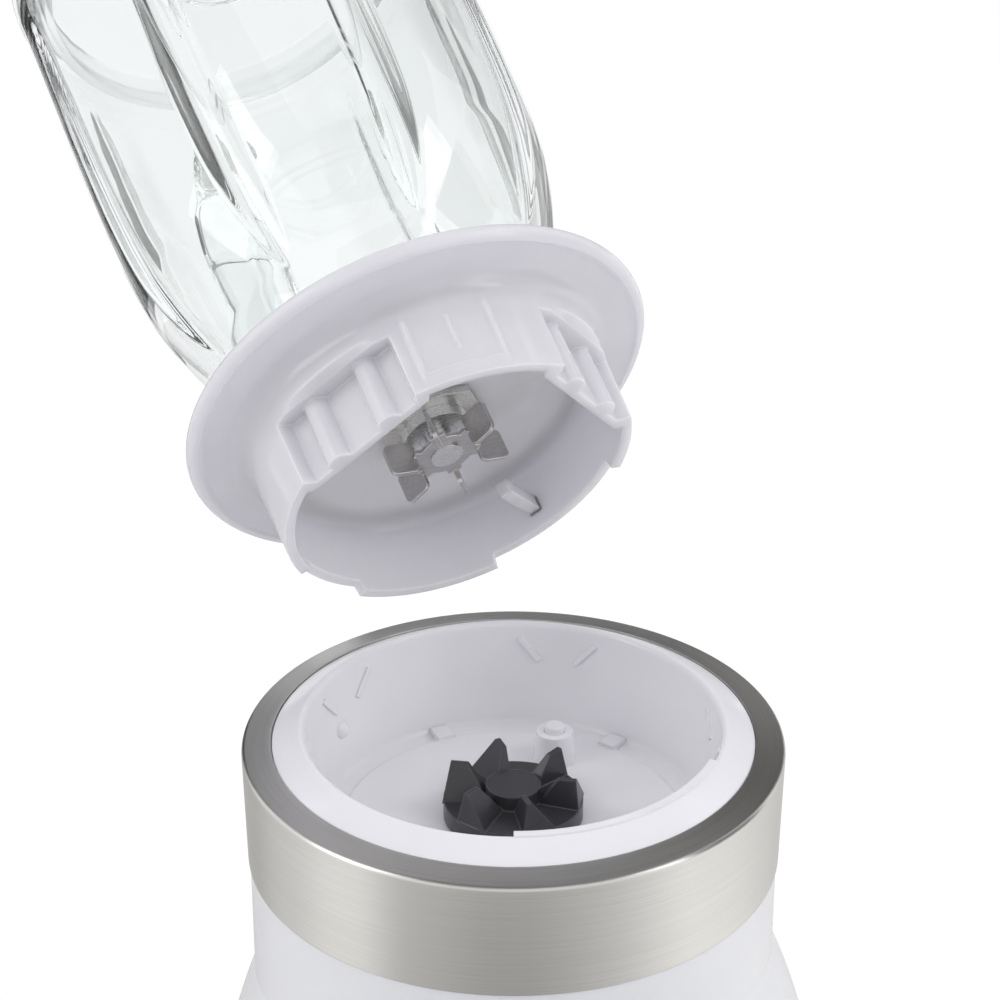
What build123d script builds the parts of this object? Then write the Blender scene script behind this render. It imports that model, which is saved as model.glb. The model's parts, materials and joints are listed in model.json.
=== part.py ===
from build123d import *
import os
from math import acos, cos, radians, sin, sqrt

os.makedirs("parts", exist_ok=True)

# Driving dimensions, in millimetres and degrees.
# The drive axis is Z, the table is at z = 0 and the control knob faces -Y.

# White ring and well at the top of the base
RING_Z = 172.0  # height of the ring's outer edge
RING_R = 73.3
RING_RISE = 3.2  # the ring climbs this much towards its crest
RING_SLOPE_W = 6.3
LIP_W = 4.4
LIP_DEPTH = 5.0
WELL_DEPTH = 30.0
WELL_DRAFT = 3.6  # the well narrows this much from its lip to its floor
WELL_CORNER = 2.5
SOCKET_WALL = 2.6
SOCKET_FLOOR = 3.0
RING_SINK = 9.0  # the ring's hidden flange lies this far below its edge
FLANGE_T = 2.4
RIB_PAIRS = 5
RIB_ANGLE = 52.2
RIB_SPREAD = 17.0
RIB_WIDTH = 2.6
RIB_HEIGHT = 11.0
RIB_PROUD = 0.7
LEDGE_ANGLE = -80.0
LEDGE_SPAN = 69.0
LEDGE_REACH = 2.6
LEDGE_RISE = 1.4
LEDGE_HEIGHT = 4.5
PAD_COUNT = 6
PAD_H = 1.9
PAD_WIDTH = 9.0
PAD_LENGTH = 7.0

# Steel band
RIM_W = 9.2
BAND_DRAFT = 0.75
BAND_H = 37.8
SHEET = 0.8
RIM_DROP = 6.0
SHOULDER_IN = 2.3
SHOULDER_UP = 3.3
RIM_CREST_IN = 1.3
RIM_RISE = 0.4
RIM_GAP = 0.25

# Housing
HOUSING_WALL = 2.6
BODY_STEP = 0.6  # the body stands this far inside the band's lower edge
BAND_GAP = 0.3
FOOT_R = 97.0
FOOT_SHIFT = 4.5  # the foot stands this far forward of the drive axis
FOOT_TOP_Z = 108.0
FOOT_STRAIGHT_Z = 20.0
FOOT_EDGE = 4.0
FOOT_TUCK = 1.0
PILLAR_R = 4.6
PILLAR_IN = 15.0
PILLAR_H = 34.0
PILLAR_RIB = 3.0
PILLAR_ANGLES = (30.0, 150.0, 210.0, 330.0)

# Bottom cover, feet and cord inlet
COVER_Z = 6.0
COVER_T = 3.4
COVER_GAP = 0.3
VENT_COUNT = 14
VENT_R = 33.0
VENT_LENGTH = 26.0
VENT_WIDTH = 4.0
FOOT_PAD_R = 10.0
FOOT_PAD_IN = 13.0
FOOT_PAD_TIP_R = 9.0
FOOT_PAD_ANGLES = (55.0, 125.0, 235.0, 305.0)
SCREW_R = 1.9
SCREW_HEAD_R = 3.6
SCREW_HEAD_T = 1.6
SCREW_GAP = 0.1
SCREW_SLOT = 1.0
SCREW_BITE = 14.0
INLET_Z = 26.0
INLET_R = 6.4
INLET_FLANGE_R = 9.0
INLET_PROUD = 3.0
INLET_BORE = 3.7
INLET_TAIL = 7.0
INLET_GAP = 0.1

# Control knob
KNOB_Z = 60.0
KNOB_R = 21.0
KNOB_DISC_H = 8.0
KNOB_GRIP_H = 17.0
KNOB_GRIP_W = 11.0
KNOB_GAP = 0.6
KNOB_TAPER = 3.0
KNOB_ROUND = 1.5
BOSS_R = 31.0
BOSS_FOOT_R = 33.5
BOSS_PROUD = 1.0
BOSS_DEPTH = 13.0
BOSS_PAD_R = 20.0
DIAL_EDGE = 2.0
DIAL_SINK = 1.2
DIAL_T = 1.8
DIAL_GAP = 0.3
SPINDLE_R = 3.0
SPINDLE_BITE = 10.0
SWITCH_SIDE = 26.0
SWITCH_DEPTH = 18.0
SWITCH_CORNER = 3.0
TERMINAL_W = 4.8
TERMINAL_T = 0.8
TERMINAL_L = 6.0
MARKER_W = 1.6
MARKER_L = 9.0
MARKER_T = 0.8

# Running clearance of shafts and pins
RUN_GAP = 0.05

# Drive coupling
DOG_R = 21.5
DOG_LIFT = 2.0  # above the well floor
DOG_DISC_T = 5.8
DOG_HUB_R = 8.5
DOG_TOOTH_INNER_R = 7.6
DOG_TOOTH_ROOT_W = 4.4
DOG_TOOTH_TIP_W = 9.0
DOG_TOOTH_INSET = 0.4
DOG_TIP_INNER_R = 15.0
DOG_TIP_OUTER_R = 19.4
DOG_TIP_W = 1.8
DOG_TIP_LEAN = 2.2
DOG_TIP_RISE = 6.7  # tooth tips above the hub disc
DOG_PHASE = 29.0
TEETH = 6
COUPLING_GAP = 1.6
VANE_PHASE = 3.0
VANE_R = 19.7
VANE_INNER_R = 10.4
VANE_H = 11.0
VANE_T = 1.4
VANE_CORNER = 2.0
STAR_HUB_R = 9.2
STAR_T = 1.2
STAR_ARM_W = 5.0

# Motor
SHAFT_R = 4.0
SHAFT_BOTTOM_Z = 25.0
SHAFT_GRIP = 9.0  # length of shaft inside the dog
SHAFT_CHAMFER = 0.6
STATOR_X = 96.0
STATOR_Y = 76.0
STATOR_Z = 76.0
STATOR_H = 36.0
STATOR_CORNER = 12.0
AIR_GAP = 1.0
ARMATURE_R = 22.0
ARMATURE_SLOTS = 12
ARMATURE_SLOT_L = 8.0
ARMATURE_SLOT_W = 3.0
COIL_X = 30.0
COIL_T = 8.0
COIL_SPAN = 66.0
COIL_LEG = 6.0
COIL_RISE = 8.0
COIL_GAP = 0.3
COIL_ROUND = 6.0
WINDING_R = 19.0
WINDING_H = 4.5
WINDING_GAP = 2.0
COMMUTATOR_R = 12.0
COMMUTATOR_H = 12.0
COMMUTATOR_GAP = 1.0
BOLT_X = 41.0
BOLT_R = 2.2
BOLT_HEAD_R = 4.0
BOLT_HEAD_T = 3.0
LEG_R = 5.0
LEG_EDGE = 2.0
UPPER_PLATE_R = 50.0
UPPER_PLATE_T = 4.0
UPPER_PLATE_GAP = 10.0  # stator top to plate
LOWER_BAR_T = 4.0
LOWER_BAR_W = 26.0
LOWER_BAR_LENGTH = 84.0
LOWER_BAR_GAP = 18.0  # stator bottom to bar
BEARING_R = 11.0
BEARING_W = 7.0
CUP_WALL = 2.5
CUP_FLOOR = 1.5
CUP_CLEAR = 1.5
RACE_W = 2.4
RACE_DEPTH = 0.8
PLATE_SLOT_L = 22.0
PLATE_SLOT_W = 9.0
GROMMET_R = 6.5
GROMMET_H = 4.0
MOUNT_PCR = 42.0
MOUNT_TURN = 20.0
MOUNT_COUNT = 4
PLATE_SLOT_TURN = 45
MOUNT_BOSS_R = 5.5
MOUNT_SCREW_R = 2.0
MOUNT_BITE = 8.0
BRUSH_W = 6.0
BRUSH_LENGTH = 18.0
BRUSH_GAP = 0.1
HOLDER_WALL = 1.8
HOLDER_LENGTH = 24.0
HOLDER_GAP = 2.0
FAN_R = 40.0
FAN_HUB_R = 9.0
FAN_Z = 28.0
FAN_H = 12.0
FAN_PLATE_T = 2.0
FAN_BLADES = 10
FAN_BLADE_T = 1.6
FAN_BLADE_TURN = 25.0
SEAL_R = 9.0
SEAL_T = 4.0

# Interlock in the well
POST_R = 37.5
POST_ANGLE = 45.0
POST_H = 11.0
POST_FOOT_R = 7.0
POST_TOP_R = 5.8
PIN_R = 3.2
PIN_PROUD = 2.3
PIN_TRAVEL = 2.0
PIN_TAIL = 3.0
PIN_ROUND = 0.8
PRESS_GAP = 0.3
PRESSER_W = 4.0
PRESSER_H = 5.0
MICRO_X = 20.0
MICRO_Y = 6.5
MICRO_Z = 6.2
MICRO_GAP = 0.8
MICRO_WEB = 2.5

# Collar, measured upwards from the lower edge of its skirt
SEAT_GAP = 0.3
WELL_CLEAR = 2.5  # skirt to the foot of the well's wall
SKIRT_DRAFT = 1.0
SKIRT_WALL = 3.2
SKIRT_H = 27.0
COLLAR_FLOOR_H = 25.6
COLLAR_FLOOR_T = 3.0
COLLAR_CORNER = 5.0
SAUCER_H = 35.5
SAUCER_SWEEP = 7.0
SAUCER_MID = 37.0
SAUCER_RIM_OUT = 19.1  # rim beyond the skirt's lower edge
SAUCER_RIM_T = 9.0
SAUCER_RIM_W = 6.4
CUP_H = 47.5
CUP_IN = 5.3  # the cup's bore lies this far inside the skirt's lower edge
CUP_SKIN = 3.2
POCKET_ANGLES = (-137.0, -43.0)
POCKET_DEPTH = 8.5
POCKET_W = 43.0
POCKET_H = 22.0
POCKET_WALL = 2.8
POCKET_BORDER = 2.0
POCKET_STEP = 1.9
NOTCH_ANGLES = (50.0, 130.0)
NOTCH_W = 27.0
NOTCH_H = 3.5
PANEL_SPREAD = 10.0
PANEL_TOP_H = 24.0
PANEL_BOTTOM_H = 6.0
PANEL_LINE = 1.0
PANEL_PROUD = 0.5

# Glass jug
GASKET_T = 2.0
GASKET_GAP = 0.4
NECK_GAP = 1.2  # glass to the cup's bore
GLASS_WALL = 4.5
GLASS_NECK_TOP = 48.0
GLASS_FLARE = 7.0
GLASS_WAIST_H = 67.0
GLASS_BELLY = (67.6, 97.0)
GLASS_SIDE = (70.0, 150.0)
GLASS_TOP_R = 71.0
GLASS_TOP = 236.0
SPOUT_R = 24.0
SPOUT_FOOT = 194.0
SPOUT_FOOT_IN = 27.0
SPOUT_TOP_IN = 13.0
HANDLE_TOP = 206.0
HANDLE_BOTTOM = 104.0
HANDLE_REACH = 112.0
HANDLE_SINK = 3.5
HANDLE_BEND = 20.0
HANDLE_W = 23.0
HANDLE_T = 13.0
HANDLE_ROUND = 5.0
HANDLE_RAKE = -14.0

# Blade unit
BEARING_TUBE_R = 11.0
BEARING_FLANGE_R = 17.0
BEARING_FLANGE_T = 2.5
BEARING_BOTTOM = 19.5
BEARING_TOP = 46.0
BUSH_R = 6.2
BUSH_H = 8.0
SEAL_H = 3.0
NUT_R = 18.0
NUT_T = 2.5
STAR_H = 12.2
RIVET_R = 5.2
RIVET_T = 0.8
BLADE_SHAFT_TOP = 61.0
BLADE_T = 1.5
BLADE_HUB_R = 9.0
BLADE_LENGTH = 26.0
BLADE_ROOT_W = 13.0
BLADE_TIP_W = 6.0
LOWER_BLADE_BEND = -12.0
UPPER_BLADE_BEND = 32.0
BLADE_GAP = 0.5
SPACER_H = 2.0
BLADE_NUT_R = 6.5
BLADE_NUT_H = 5.0

# Lid and measuring cap
LID_OVERHANG = 2.0
LID_T = 3.0
LID_GAP = 0.5
LID_PLUG_GAP = 2.4
LID_PLUG_DEPTH = 14.0
LID_WALL = 2.4
LID_TONGUE_W = 40.0
LID_TONGUE_OUT = 14.0
LID_COLLAR_R = 26.0
LID_COLLAR_H = 9.0
CAP_R = 22.0
CAP_GAP = 0.3
CAP_DEPTH = 16.0
CAP_FLANGE_R = 25.0
CAP_TOP_H = 12.0
CAP_WALL = 2.0
LID_GASKET_H = 5.0

# The jug is held off the base, leant back about a line parallel to X
HELD_TILT = 61.3
HINGE_Y = 99.6
HINGE_H = 14.5  # above the skirt's lower edge when the jug is seated

# Places worked out from the driving dimensions
CREST_R = RING_R - RING_SLOPE_W
LIP_R = CREST_R - LIP_W
WELL_FLOOR_R = LIP_R - WELL_DRAFT
BAND_R = RING_R + RIM_W
BAND_BOTTOM_R = BAND_R - BAND_DRAFT
SKIRT_R = WELL_FLOOR_R - WELL_CLEAR
POCKET_R = SKIRT_R - POCKET_DEPTH
POCKET_STEP_R = SKIRT_R - POCKET_STEP
SAUCER_R = SKIRT_R + SAUCER_SWEEP
SAUCER_RIM_R = SKIRT_R + SAUCER_RIM_OUT
CUP_INNER_R = SKIRT_R - CUP_IN
CUP_R = CUP_INNER_R + CUP_SKIN
GLASS_NECK_R = CUP_INNER_R - NECK_GAP
PILLAR_PCR = FOOT_R - PILLAR_IN
FOOT_PAD_PCR = FOOT_R - FOOT_PAD_IN
HANDLE_ROOT = GLASS_TOP_R - HANDLE_SINK
LID_R = GLASS_TOP_R + LID_OVERHANG
LID_TONGUE_Y = GLASS_TOP_R + LID_TONGUE_OUT
WELL_Z = RING_Z - WELL_DEPTH
WELL_UNDER_Z = WELL_Z - SOCKET_FLOOR
BAND_Z = RING_Z - BAND_H
FLANGE_Z = RING_Z - RING_SINK
NECK_R = BAND_BOTTOM_R - SHEET - BAND_GAP
BODY_R = BAND_BOTTOM_R - BODY_STEP
FOOT_TOP_R = BODY_R - FOOT_SHIFT - FOOT_TUCK
FOOT_AXIS = Axis((0, -FOOT_SHIFT, 0), (0, 0, 1))
COVER_TOP_Z = COVER_Z + COVER_T
SKIRT_Z = WELL_Z + PAD_H + SEAT_GAP
STAR_Z = SKIRT_Z + STAR_H
DOG_Z = WELL_Z + DOG_LIFT
DOG_HUB_Z = STAR_Z - COUPLING_GAP
STATOR_TOP_Z = STATOR_Z + STATOR_H
UPPER_PLATE_Z = STATOR_TOP_Z + UPPER_PLATE_GAP
UPPER_PLATE_TOP_Z = UPPER_PLATE_Z + UPPER_PLATE_T
LOWER_BAR_Z = STATOR_Z - LOWER_BAR_GAP - LOWER_BAR_T
LOWER_BAR_TOP_Z = LOWER_BAR_Z + LOWER_BAR_T
FLOOR_TOP = COLLAR_FLOOR_H + COLLAR_FLOOR_T
GLASS_BOTTOM = FLOOR_TOP + GASKET_T
GLASS_MOUTH_R = GLASS_TOP_R - GLASS_WALL
LID_Z = GLASS_TOP + LID_GAP
PLUG_R = GLASS_MOUTH_R - LID_PLUG_GAP
BLADE_Z = BEARING_TOP + BLADE_GAP
UPPER_BLADE_Z = BLADE_Z + BLADE_T + SPACER_H
HINGE_Z = SKIRT_Z + HINGE_H

# Arc of the foot's side, and the knob's place on it
FOOT_IN = FOOT_R - FOOT_TOP_R
FOOT_UP = FOOT_TOP_Z - FOOT_STRAIGHT_Z
FOOT_ARC_R = (FOOT_IN**2 + FOOT_UP**2) / (2 * FOOT_IN)
KNOB_SIDE = sqrt(FOOT_ARC_R**2 - (KNOB_Z - FOOT_STRAIGHT_Z) ** 2)
KNOB_TILT = acos(KNOB_SIDE / FOOT_ARC_R)
KNOB_Y = -(FOOT_SHIFT + FOOT_R - FOOT_ARC_R + KNOB_SIDE + BOSS_PROUD)
KNOB_PLANE = Plane((0, KNOB_Y, KNOB_Z), x_dir=(1, 0, 0), z_dir=(0, -cos(KNOB_TILT), sin(KNOB_TILT)))

# Place of the interlock post
POST_X = POST_R * cos(radians(POST_ANGLE))
POST_Y = POST_R * sin(radians(POST_ANGLE))
POST_TOP_Z = WELL_Z + POST_H
PIN_TOP_Z = POST_TOP_Z + PIN_PROUD
PIN_BOTTOM_Z = WELL_UNDER_Z - PIN_TAIL
PRESSER_BOTTOM = PIN_TOP_Z - PIN_TRAVEL + PRESS_GAP - SKIRT_Z

# Pieces of the jug are drawn upright from the skirt's lower edge and stand in this pose
HELD = (
    Location((0, HINGE_Y, HINGE_Z))
    * Location((0, 0, 0), (-HELD_TILT, 0, 0))
    * Location((0, -HINGE_Y, SKIRT_Z - HINGE_Z))
)


def save(piece, name, pose=Location()):
    """Write one labelled piece, moved to its pose."""
    placed = piece.moved(pose)
    placed.label = name
    export_step(placed, f"parts/{name}.step")


def section(*points, plane=Plane.XZ):
    """Face with straight sides through points of radius and height."""
    with BuildSketch(plane) as face:
        with BuildLine():
            Polyline(*points, close=True)
        make_face()
    return face.sketch


def ring_section(inner, outer, bottom, top):
    """Rectangular section of a ring about the drive axis."""
    return section((inner, bottom), (outer, bottom), (outer, top), (inner, top))


def meridian(angle):
    """Upright plane through the drive axis, with its X pointing outwards at an angle."""
    turn = radians(angle)
    return Plane((0, 0, 0), x_dir=(cos(turn), sin(turn), 0), z_dir=(sin(turn), -cos(turn), 0))


def around(angles, radius=0.0, height=0.0):
    """Locations about the drive axis, with X pointing outwards."""
    places = []
    for angle in angles:
        turn = radians(angle)
        places.append(Location((radius * cos(turn), radius * sin(turn), height), (0, 0, angle)))
    return places


# Base housing: upper body, convex foot, knob boss and cover pillars


def foot_section(inset, bottom):
    """Half section of the foot, set in from its outer face."""
    edge = FOOT_EDGE if inset == 0 else 0
    with BuildSketch(Plane.XZ.offset(FOOT_SHIFT)) as face:
        with BuildLine():
            base = Line((0, bottom), (FOOT_R - inset - edge, bottom))
            start = base @ 1
            if edge:
                corner = TangentArc(start, (FOOT_R - inset, bottom + edge), tangent=(1, 0))
                start = corner @ 1
            side = Line(start, (FOOT_R - inset, FOOT_STRAIGHT_Z))
            flare = TangentArc(side @ 1, (FOOT_TOP_R - inset, FOOT_TOP_Z), tangent=(0, 1))
            top = Line(flare @ 1, (0, FOOT_TOP_Z))
            Line(top @ 1, base @ 0)
        make_face()
    return face.sketch


with BuildPart() as base_housing:
    revolve(
        section(
            (0, FOOT_STRAIGHT_Z),
            (BODY_R, FOOT_STRAIGHT_Z),
            (BODY_R, BAND_Z),
            (NECK_R, BAND_Z),
            (NECK_R, FLANGE_Z),
            (0, FLANGE_Z),
        ),
        axis=Axis.Z,
    )
    revolve(foot_section(0, COVER_Z), axis=FOOT_AXIS)
    with Locations(KNOB_PLANE.offset(-BOSS_DEPTH)):
        Cone(BOSS_FOOT_R, BOSS_R, BOSS_DEPTH, align=(Align.CENTER, Align.CENTER, Align.MIN))
    revolve(ring_section(0, NECK_R - HOUSING_WALL, COVER_Z, FLANGE_Z), axis=Axis.Z, mode=Mode.SUBTRACT)
    revolve(foot_section(HOUSING_WALL, COVER_Z), axis=FOOT_AXIS, mode=Mode.SUBTRACT)
    with BuildSketch(KNOB_PLANE.offset(-BOSS_DEPTH)):
        Circle(BOSS_PAD_R)
    extrude(amount=BOSS_DEPTH - DIAL_SINK)
    with BuildSketch(KNOB_PLANE):
        Circle(BOSS_R - DIAL_EDGE)
    extrude(amount=-DIAL_SINK, mode=Mode.SUBTRACT)
    with BuildSketch(KNOB_PLANE):
        Circle(SPINDLE_R + 2 * RUN_GAP)
    extrude(amount=-BOSS_DEPTH, mode=Mode.SUBTRACT)
    with BuildSketch(Plane.XZ.offset(FOOT_SHIFT - FOOT_R + 2 * HOUSING_WALL)):
        with Locations((0, INLET_Z)):
            Circle(INLET_R)
    extrude(amount=-3 * HOUSING_WALL, mode=Mode.SUBTRACT)
    with Locations((0, -FOOT_SHIFT, COVER_TOP_Z)):
        with Locations(*around(PILLAR_ANGLES, PILLAR_PCR)):
            Cylinder(PILLAR_R, PILLAR_H, align=(Align.CENTER, Align.CENTER, Align.MIN))
            Box(
                FOOT_R - PILLAR_PCR - HOUSING_WALL / 2,
                PILLAR_RIB,
                PILLAR_H,
                align=(Align.MIN, Align.CENTER, Align.MIN),
            )
            Cylinder(
                SCREW_R + SCREW_GAP,
                SCREW_BITE,
                align=(Align.CENTER, Align.CENTER, Align.MIN),
                mode=Mode.SUBTRACT,
            )
save(base_housing.part, "base_housing")


# Steel band with its rolled rim


def band_section(inset):
    """Half section under the band's outer face, set in by part of its thickness."""
    shoulder_z = RING_Z - RIM_DROP
    with BuildSketch(Plane.XZ) as face:
        with BuildLine():
            base = Line((0, BAND_Z), (BAND_BOTTOM_R - inset, BAND_Z))
            wall = Line(base @ 1, (BAND_R - inset, shoulder_z))
            shoulder_end = (BAND_R - SHOULDER_IN - inset / 2, shoulder_z + SHOULDER_UP - inset)
            shoulder = TangentArc(wall @ 1, shoulder_end, tangent=wall % 1)
            rim = Line(shoulder @ 1, (RING_R + RIM_CREST_IN, RING_Z + RIM_RISE - inset))
            top = Line(rim @ 1, (0, RING_Z + RIM_RISE - inset))
            Line(top @ 1, base @ 0)
        make_face()
    return face.sketch


with BuildPart() as steel_band:
    revolve(band_section(0), axis=Axis.Z)
    revolve(band_section(SHEET), axis=Axis.Z, mode=Mode.SUBTRACT)
    with Locations((0, 0, RING_Z)):
        Cylinder(RING_R + RIM_GAP, RIM_DROP, mode=Mode.SUBTRACT)
save(steel_band.part, "steel_band")


# Jug socket: ring, well, ribs, ledge, seat pads, interlock post and motor bosses

LIP_Z = RING_Z + RING_RISE - LIP_DEPTH
LEDGE_Z = RING_Z + RING_RISE + LEDGE_RISE
MOUNT_BOSS_Z = UPPER_PLATE_TOP_Z + GROMMET_H
MICRO_TOP_Z = PIN_BOTTOM_Z - PIN_TRAVEL - MICRO_GAP
MICRO_WEB_Y = (MICRO_Y + MICRO_WEB) / 2

with BuildPart() as jug_socket:
    with BuildSketch(Plane.XZ):
        with BuildLine():
            rise = Line((RING_R, RING_Z), (CREST_R, RING_Z + RING_RISE))
            lip = TangentArc(rise @ 1, (LIP_R, LIP_Z), tangent=rise % 1)
            wall = Line(lip @ 1, (WELL_FLOOR_R, WELL_Z + WELL_CORNER))
            corner = TangentArc(wall @ 1, (WELL_FLOOR_R - WELL_CORNER, WELL_Z), tangent=wall % 1)
            Polyline(
                corner @ 1,
                (0, WELL_Z),
                (0, WELL_UNDER_Z),
                (WELL_FLOOR_R - WELL_CORNER / 2, WELL_UNDER_Z),
                (WELL_FLOOR_R + SOCKET_WALL, WELL_Z + WELL_CORNER / 2),
                (LIP_R + SOCKET_WALL, LIP_Z),
                (CREST_R, RING_Z + RING_RISE - SOCKET_WALL),
                (RING_R - SOCKET_WALL, RING_Z - SOCKET_WALL),
                (RING_R - SOCKET_WALL, FLANGE_Z),
                (NECK_R, FLANGE_Z),
                (NECK_R, FLANGE_Z + FLANGE_T),
                (RING_R, FLANGE_Z + FLANGE_T),
                rise @ 0,
            )
        make_face()
    revolve(axis=Axis.Z)
    # Short ribs below the lip, in pairs
    with Locations((0, 0, LIP_Z - RIB_HEIGHT / 2)):
        for rib_turn in (-RIB_SPREAD / 2, RIB_SPREAD / 2):
            with PolarLocations(LIP_R, RIB_PAIRS, start_angle=RIB_ANGLE + rib_turn):
                Box(2 * RIB_PROUD, RIB_WIDTH, RIB_HEIGHT)
    # Raised ledge along part of the lip
    revolve(
        section(
            (LIP_R - LEDGE_REACH, LEDGE_Z - LEDGE_HEIGHT),
            (LIP_R - LEDGE_REACH, LEDGE_Z),
            (CREST_R - LEDGE_REACH / 2, LEDGE_Z),
            (CREST_R, LEDGE_Z - LEDGE_RISE - SOCKET_WALL / 2),
            (LIP_R + SOCKET_WALL / 2, LIP_Z - SOCKET_WALL / 2),
            plane=meridian(LEDGE_ANGLE - LEDGE_SPAN / 2),
        ),
        axis=Axis.Z,
        revolution_arc=LEDGE_SPAN,
    )
    with Locations((0, 0, WELL_Z)):
        with PolarLocations(SKIRT_R - SKIRT_WALL / 2, PAD_COUNT, start_angle=90):
            Box(PAD_LENGTH, PAD_WIDTH, PAD_H, align=(Align.CENTER, Align.CENTER, Align.MIN))
    # Interlock post, bored for its pin
    with Locations((POST_X, POST_Y, WELL_Z)):
        Cone(POST_FOOT_R, POST_TOP_R, POST_H, align=(Align.CENTER, Align.CENTER, Align.MIN))
    with Locations((POST_X, POST_Y, WELL_UNDER_Z)):
        Cylinder(
            PIN_R + RUN_GAP,
            SOCKET_FLOOR + POST_H,
            align=(Align.CENTER, Align.CENTER, Align.MIN),
            mode=Mode.SUBTRACT,
        )
    # Web that carries the interlock switch below the floor
    with Locations((POST_X, POST_Y + MICRO_WEB_Y, MICRO_TOP_Z - MICRO_Z)):
        Box(
            MICRO_X,
            MICRO_WEB,
            WELL_UNDER_Z - MICRO_TOP_Z + MICRO_Z,
            align=(Align.CENTER, Align.CENTER, Align.MIN),
        )
    # Bosses that carry the motor
    with Locations((0, 0, MOUNT_BOSS_Z)):
        with PolarLocations(MOUNT_PCR, MOUNT_COUNT, start_angle=MOUNT_TURN):
            Cylinder(
                MOUNT_BOSS_R,
                WELL_UNDER_Z - MOUNT_BOSS_Z,
                align=(Align.CENTER, Align.CENTER, Align.MIN),
            )
            Cylinder(
                MOUNT_SCREW_R + SCREW_GAP,
                MOUNT_BITE,
                align=(Align.CENTER, Align.CENTER, Align.MIN),
                mode=Mode.SUBTRACT,
            )
    with Locations((0, 0, WELL_Z)):
        Cylinder(SEAL_R, 3 * SOCKET_FLOOR, mode=Mode.SUBTRACT)
save(jug_socket.part, "jug_socket")

# Bottom cover, feet, screws and cord inlet

with BuildPart() as bottom_cover:
    with Locations((0, -FOOT_SHIFT, COVER_Z)):
        Cylinder(
            FOOT_R - HOUSING_WALL - COVER_GAP,
            COVER_T,
            align=(Align.CENTER, Align.CENTER, Align.MIN),
        )
        with Locations(*around(PILLAR_ANGLES, PILLAR_PCR)):
            Cylinder(SCREW_R + SCREW_GAP, 2 * COVER_T, mode=Mode.SUBTRACT)
            Cylinder(SCREW_HEAD_R + SCREW_GAP, 2 * SCREW_HEAD_T, mode=Mode.SUBTRACT)
    with BuildSketch(Plane.XY.offset(COVER_Z)):
        with PolarLocations(VENT_R, VENT_COUNT):
            SlotOverall(VENT_LENGTH, VENT_WIDTH)
    extrude(amount=COVER_T, mode=Mode.SUBTRACT)
save(bottom_cover.part, "bottom_cover")

with BuildPart() as rubber_feet:
    with Locations((0, -FOOT_SHIFT, 0)):
        with Locations(*around(FOOT_PAD_ANGLES, FOOT_PAD_PCR)):
            Cone(FOOT_PAD_TIP_R, FOOT_PAD_R, COVER_Z, align=(Align.CENTER, Align.CENTER, Align.MIN))
save(rubber_feet.part, "rubber_feet")

with BuildPart() as cover_screws:
    with Locations((0, -FOOT_SHIFT, COVER_Z)):
        with Locations(*around(PILLAR_ANGLES, PILLAR_PCR)):
            Cylinder(SCREW_HEAD_R, SCREW_HEAD_T, align=(Align.CENTER, Align.CENTER, Align.MIN))
            Cylinder(
                SCREW_R,
                COVER_T + SCREW_BITE - SCREW_HEAD_T,
                align=(Align.CENTER, Align.CENTER, Align.MIN),
            )
            Box(SCREW_HEAD_R, SCREW_SLOT, SCREW_HEAD_T, mode=Mode.SUBTRACT)
            Box(SCREW_SLOT, SCREW_HEAD_R, SCREW_HEAD_T, mode=Mode.SUBTRACT)
save(cover_screws.part, "cover_screws")

INLET_Y = FOOT_R - FOOT_SHIFT
INLET_TAIL_Y = INLET_Y - HOUSING_WALL - INLET_TAIL
with BuildPart() as cord_inlet:
    with BuildSketch(Plane.XZ.offset(-INLET_TAIL_Y)):
        with Locations((0, INLET_Z)):
            Circle(INLET_R - INLET_GAP)
    extrude(amount=INLET_TAIL_Y - INLET_Y - INLET_GAP)
    with BuildSketch(Plane.XZ.offset(-INLET_Y - INLET_GAP)):
        with Locations((0, INLET_Z)):
            Circle(INLET_FLANGE_R)
    extrude(amount=-INLET_PROUD)
    fillet(cord_inlet.faces().sort_by(Axis.Y)[-1].edges(), INLET_PROUD / 2)
    with BuildSketch(Plane.XZ.offset(-INLET_TAIL_Y)):
        with Locations((0, INLET_Z)):
            Circle(INLET_BORE)
    extrude(amount=INLET_TAIL_Y - INLET_Y - INLET_GAP - INLET_PROUD, mode=Mode.SUBTRACT)
save(cord_inlet.part, "cord_inlet")

# Control: dial plate, knob with its pointer, and the switch behind them

with BuildPart() as dial_plate:
    with BuildSketch(KNOB_PLANE.offset(-DIAL_SINK)):
        Circle(BOSS_R - DIAL_EDGE - DIAL_GAP)
        Circle(SPINDLE_R + 2 * RUN_GAP, mode=Mode.SUBTRACT)
    extrude(amount=DIAL_T)
    chamfer(dial_plate.edges().filter_by(GeomType.CIRCLE).sort_by(SortBy.RADIUS)[-1], DIAL_GAP)
save(dial_plate.part, "dial_plate")

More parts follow.
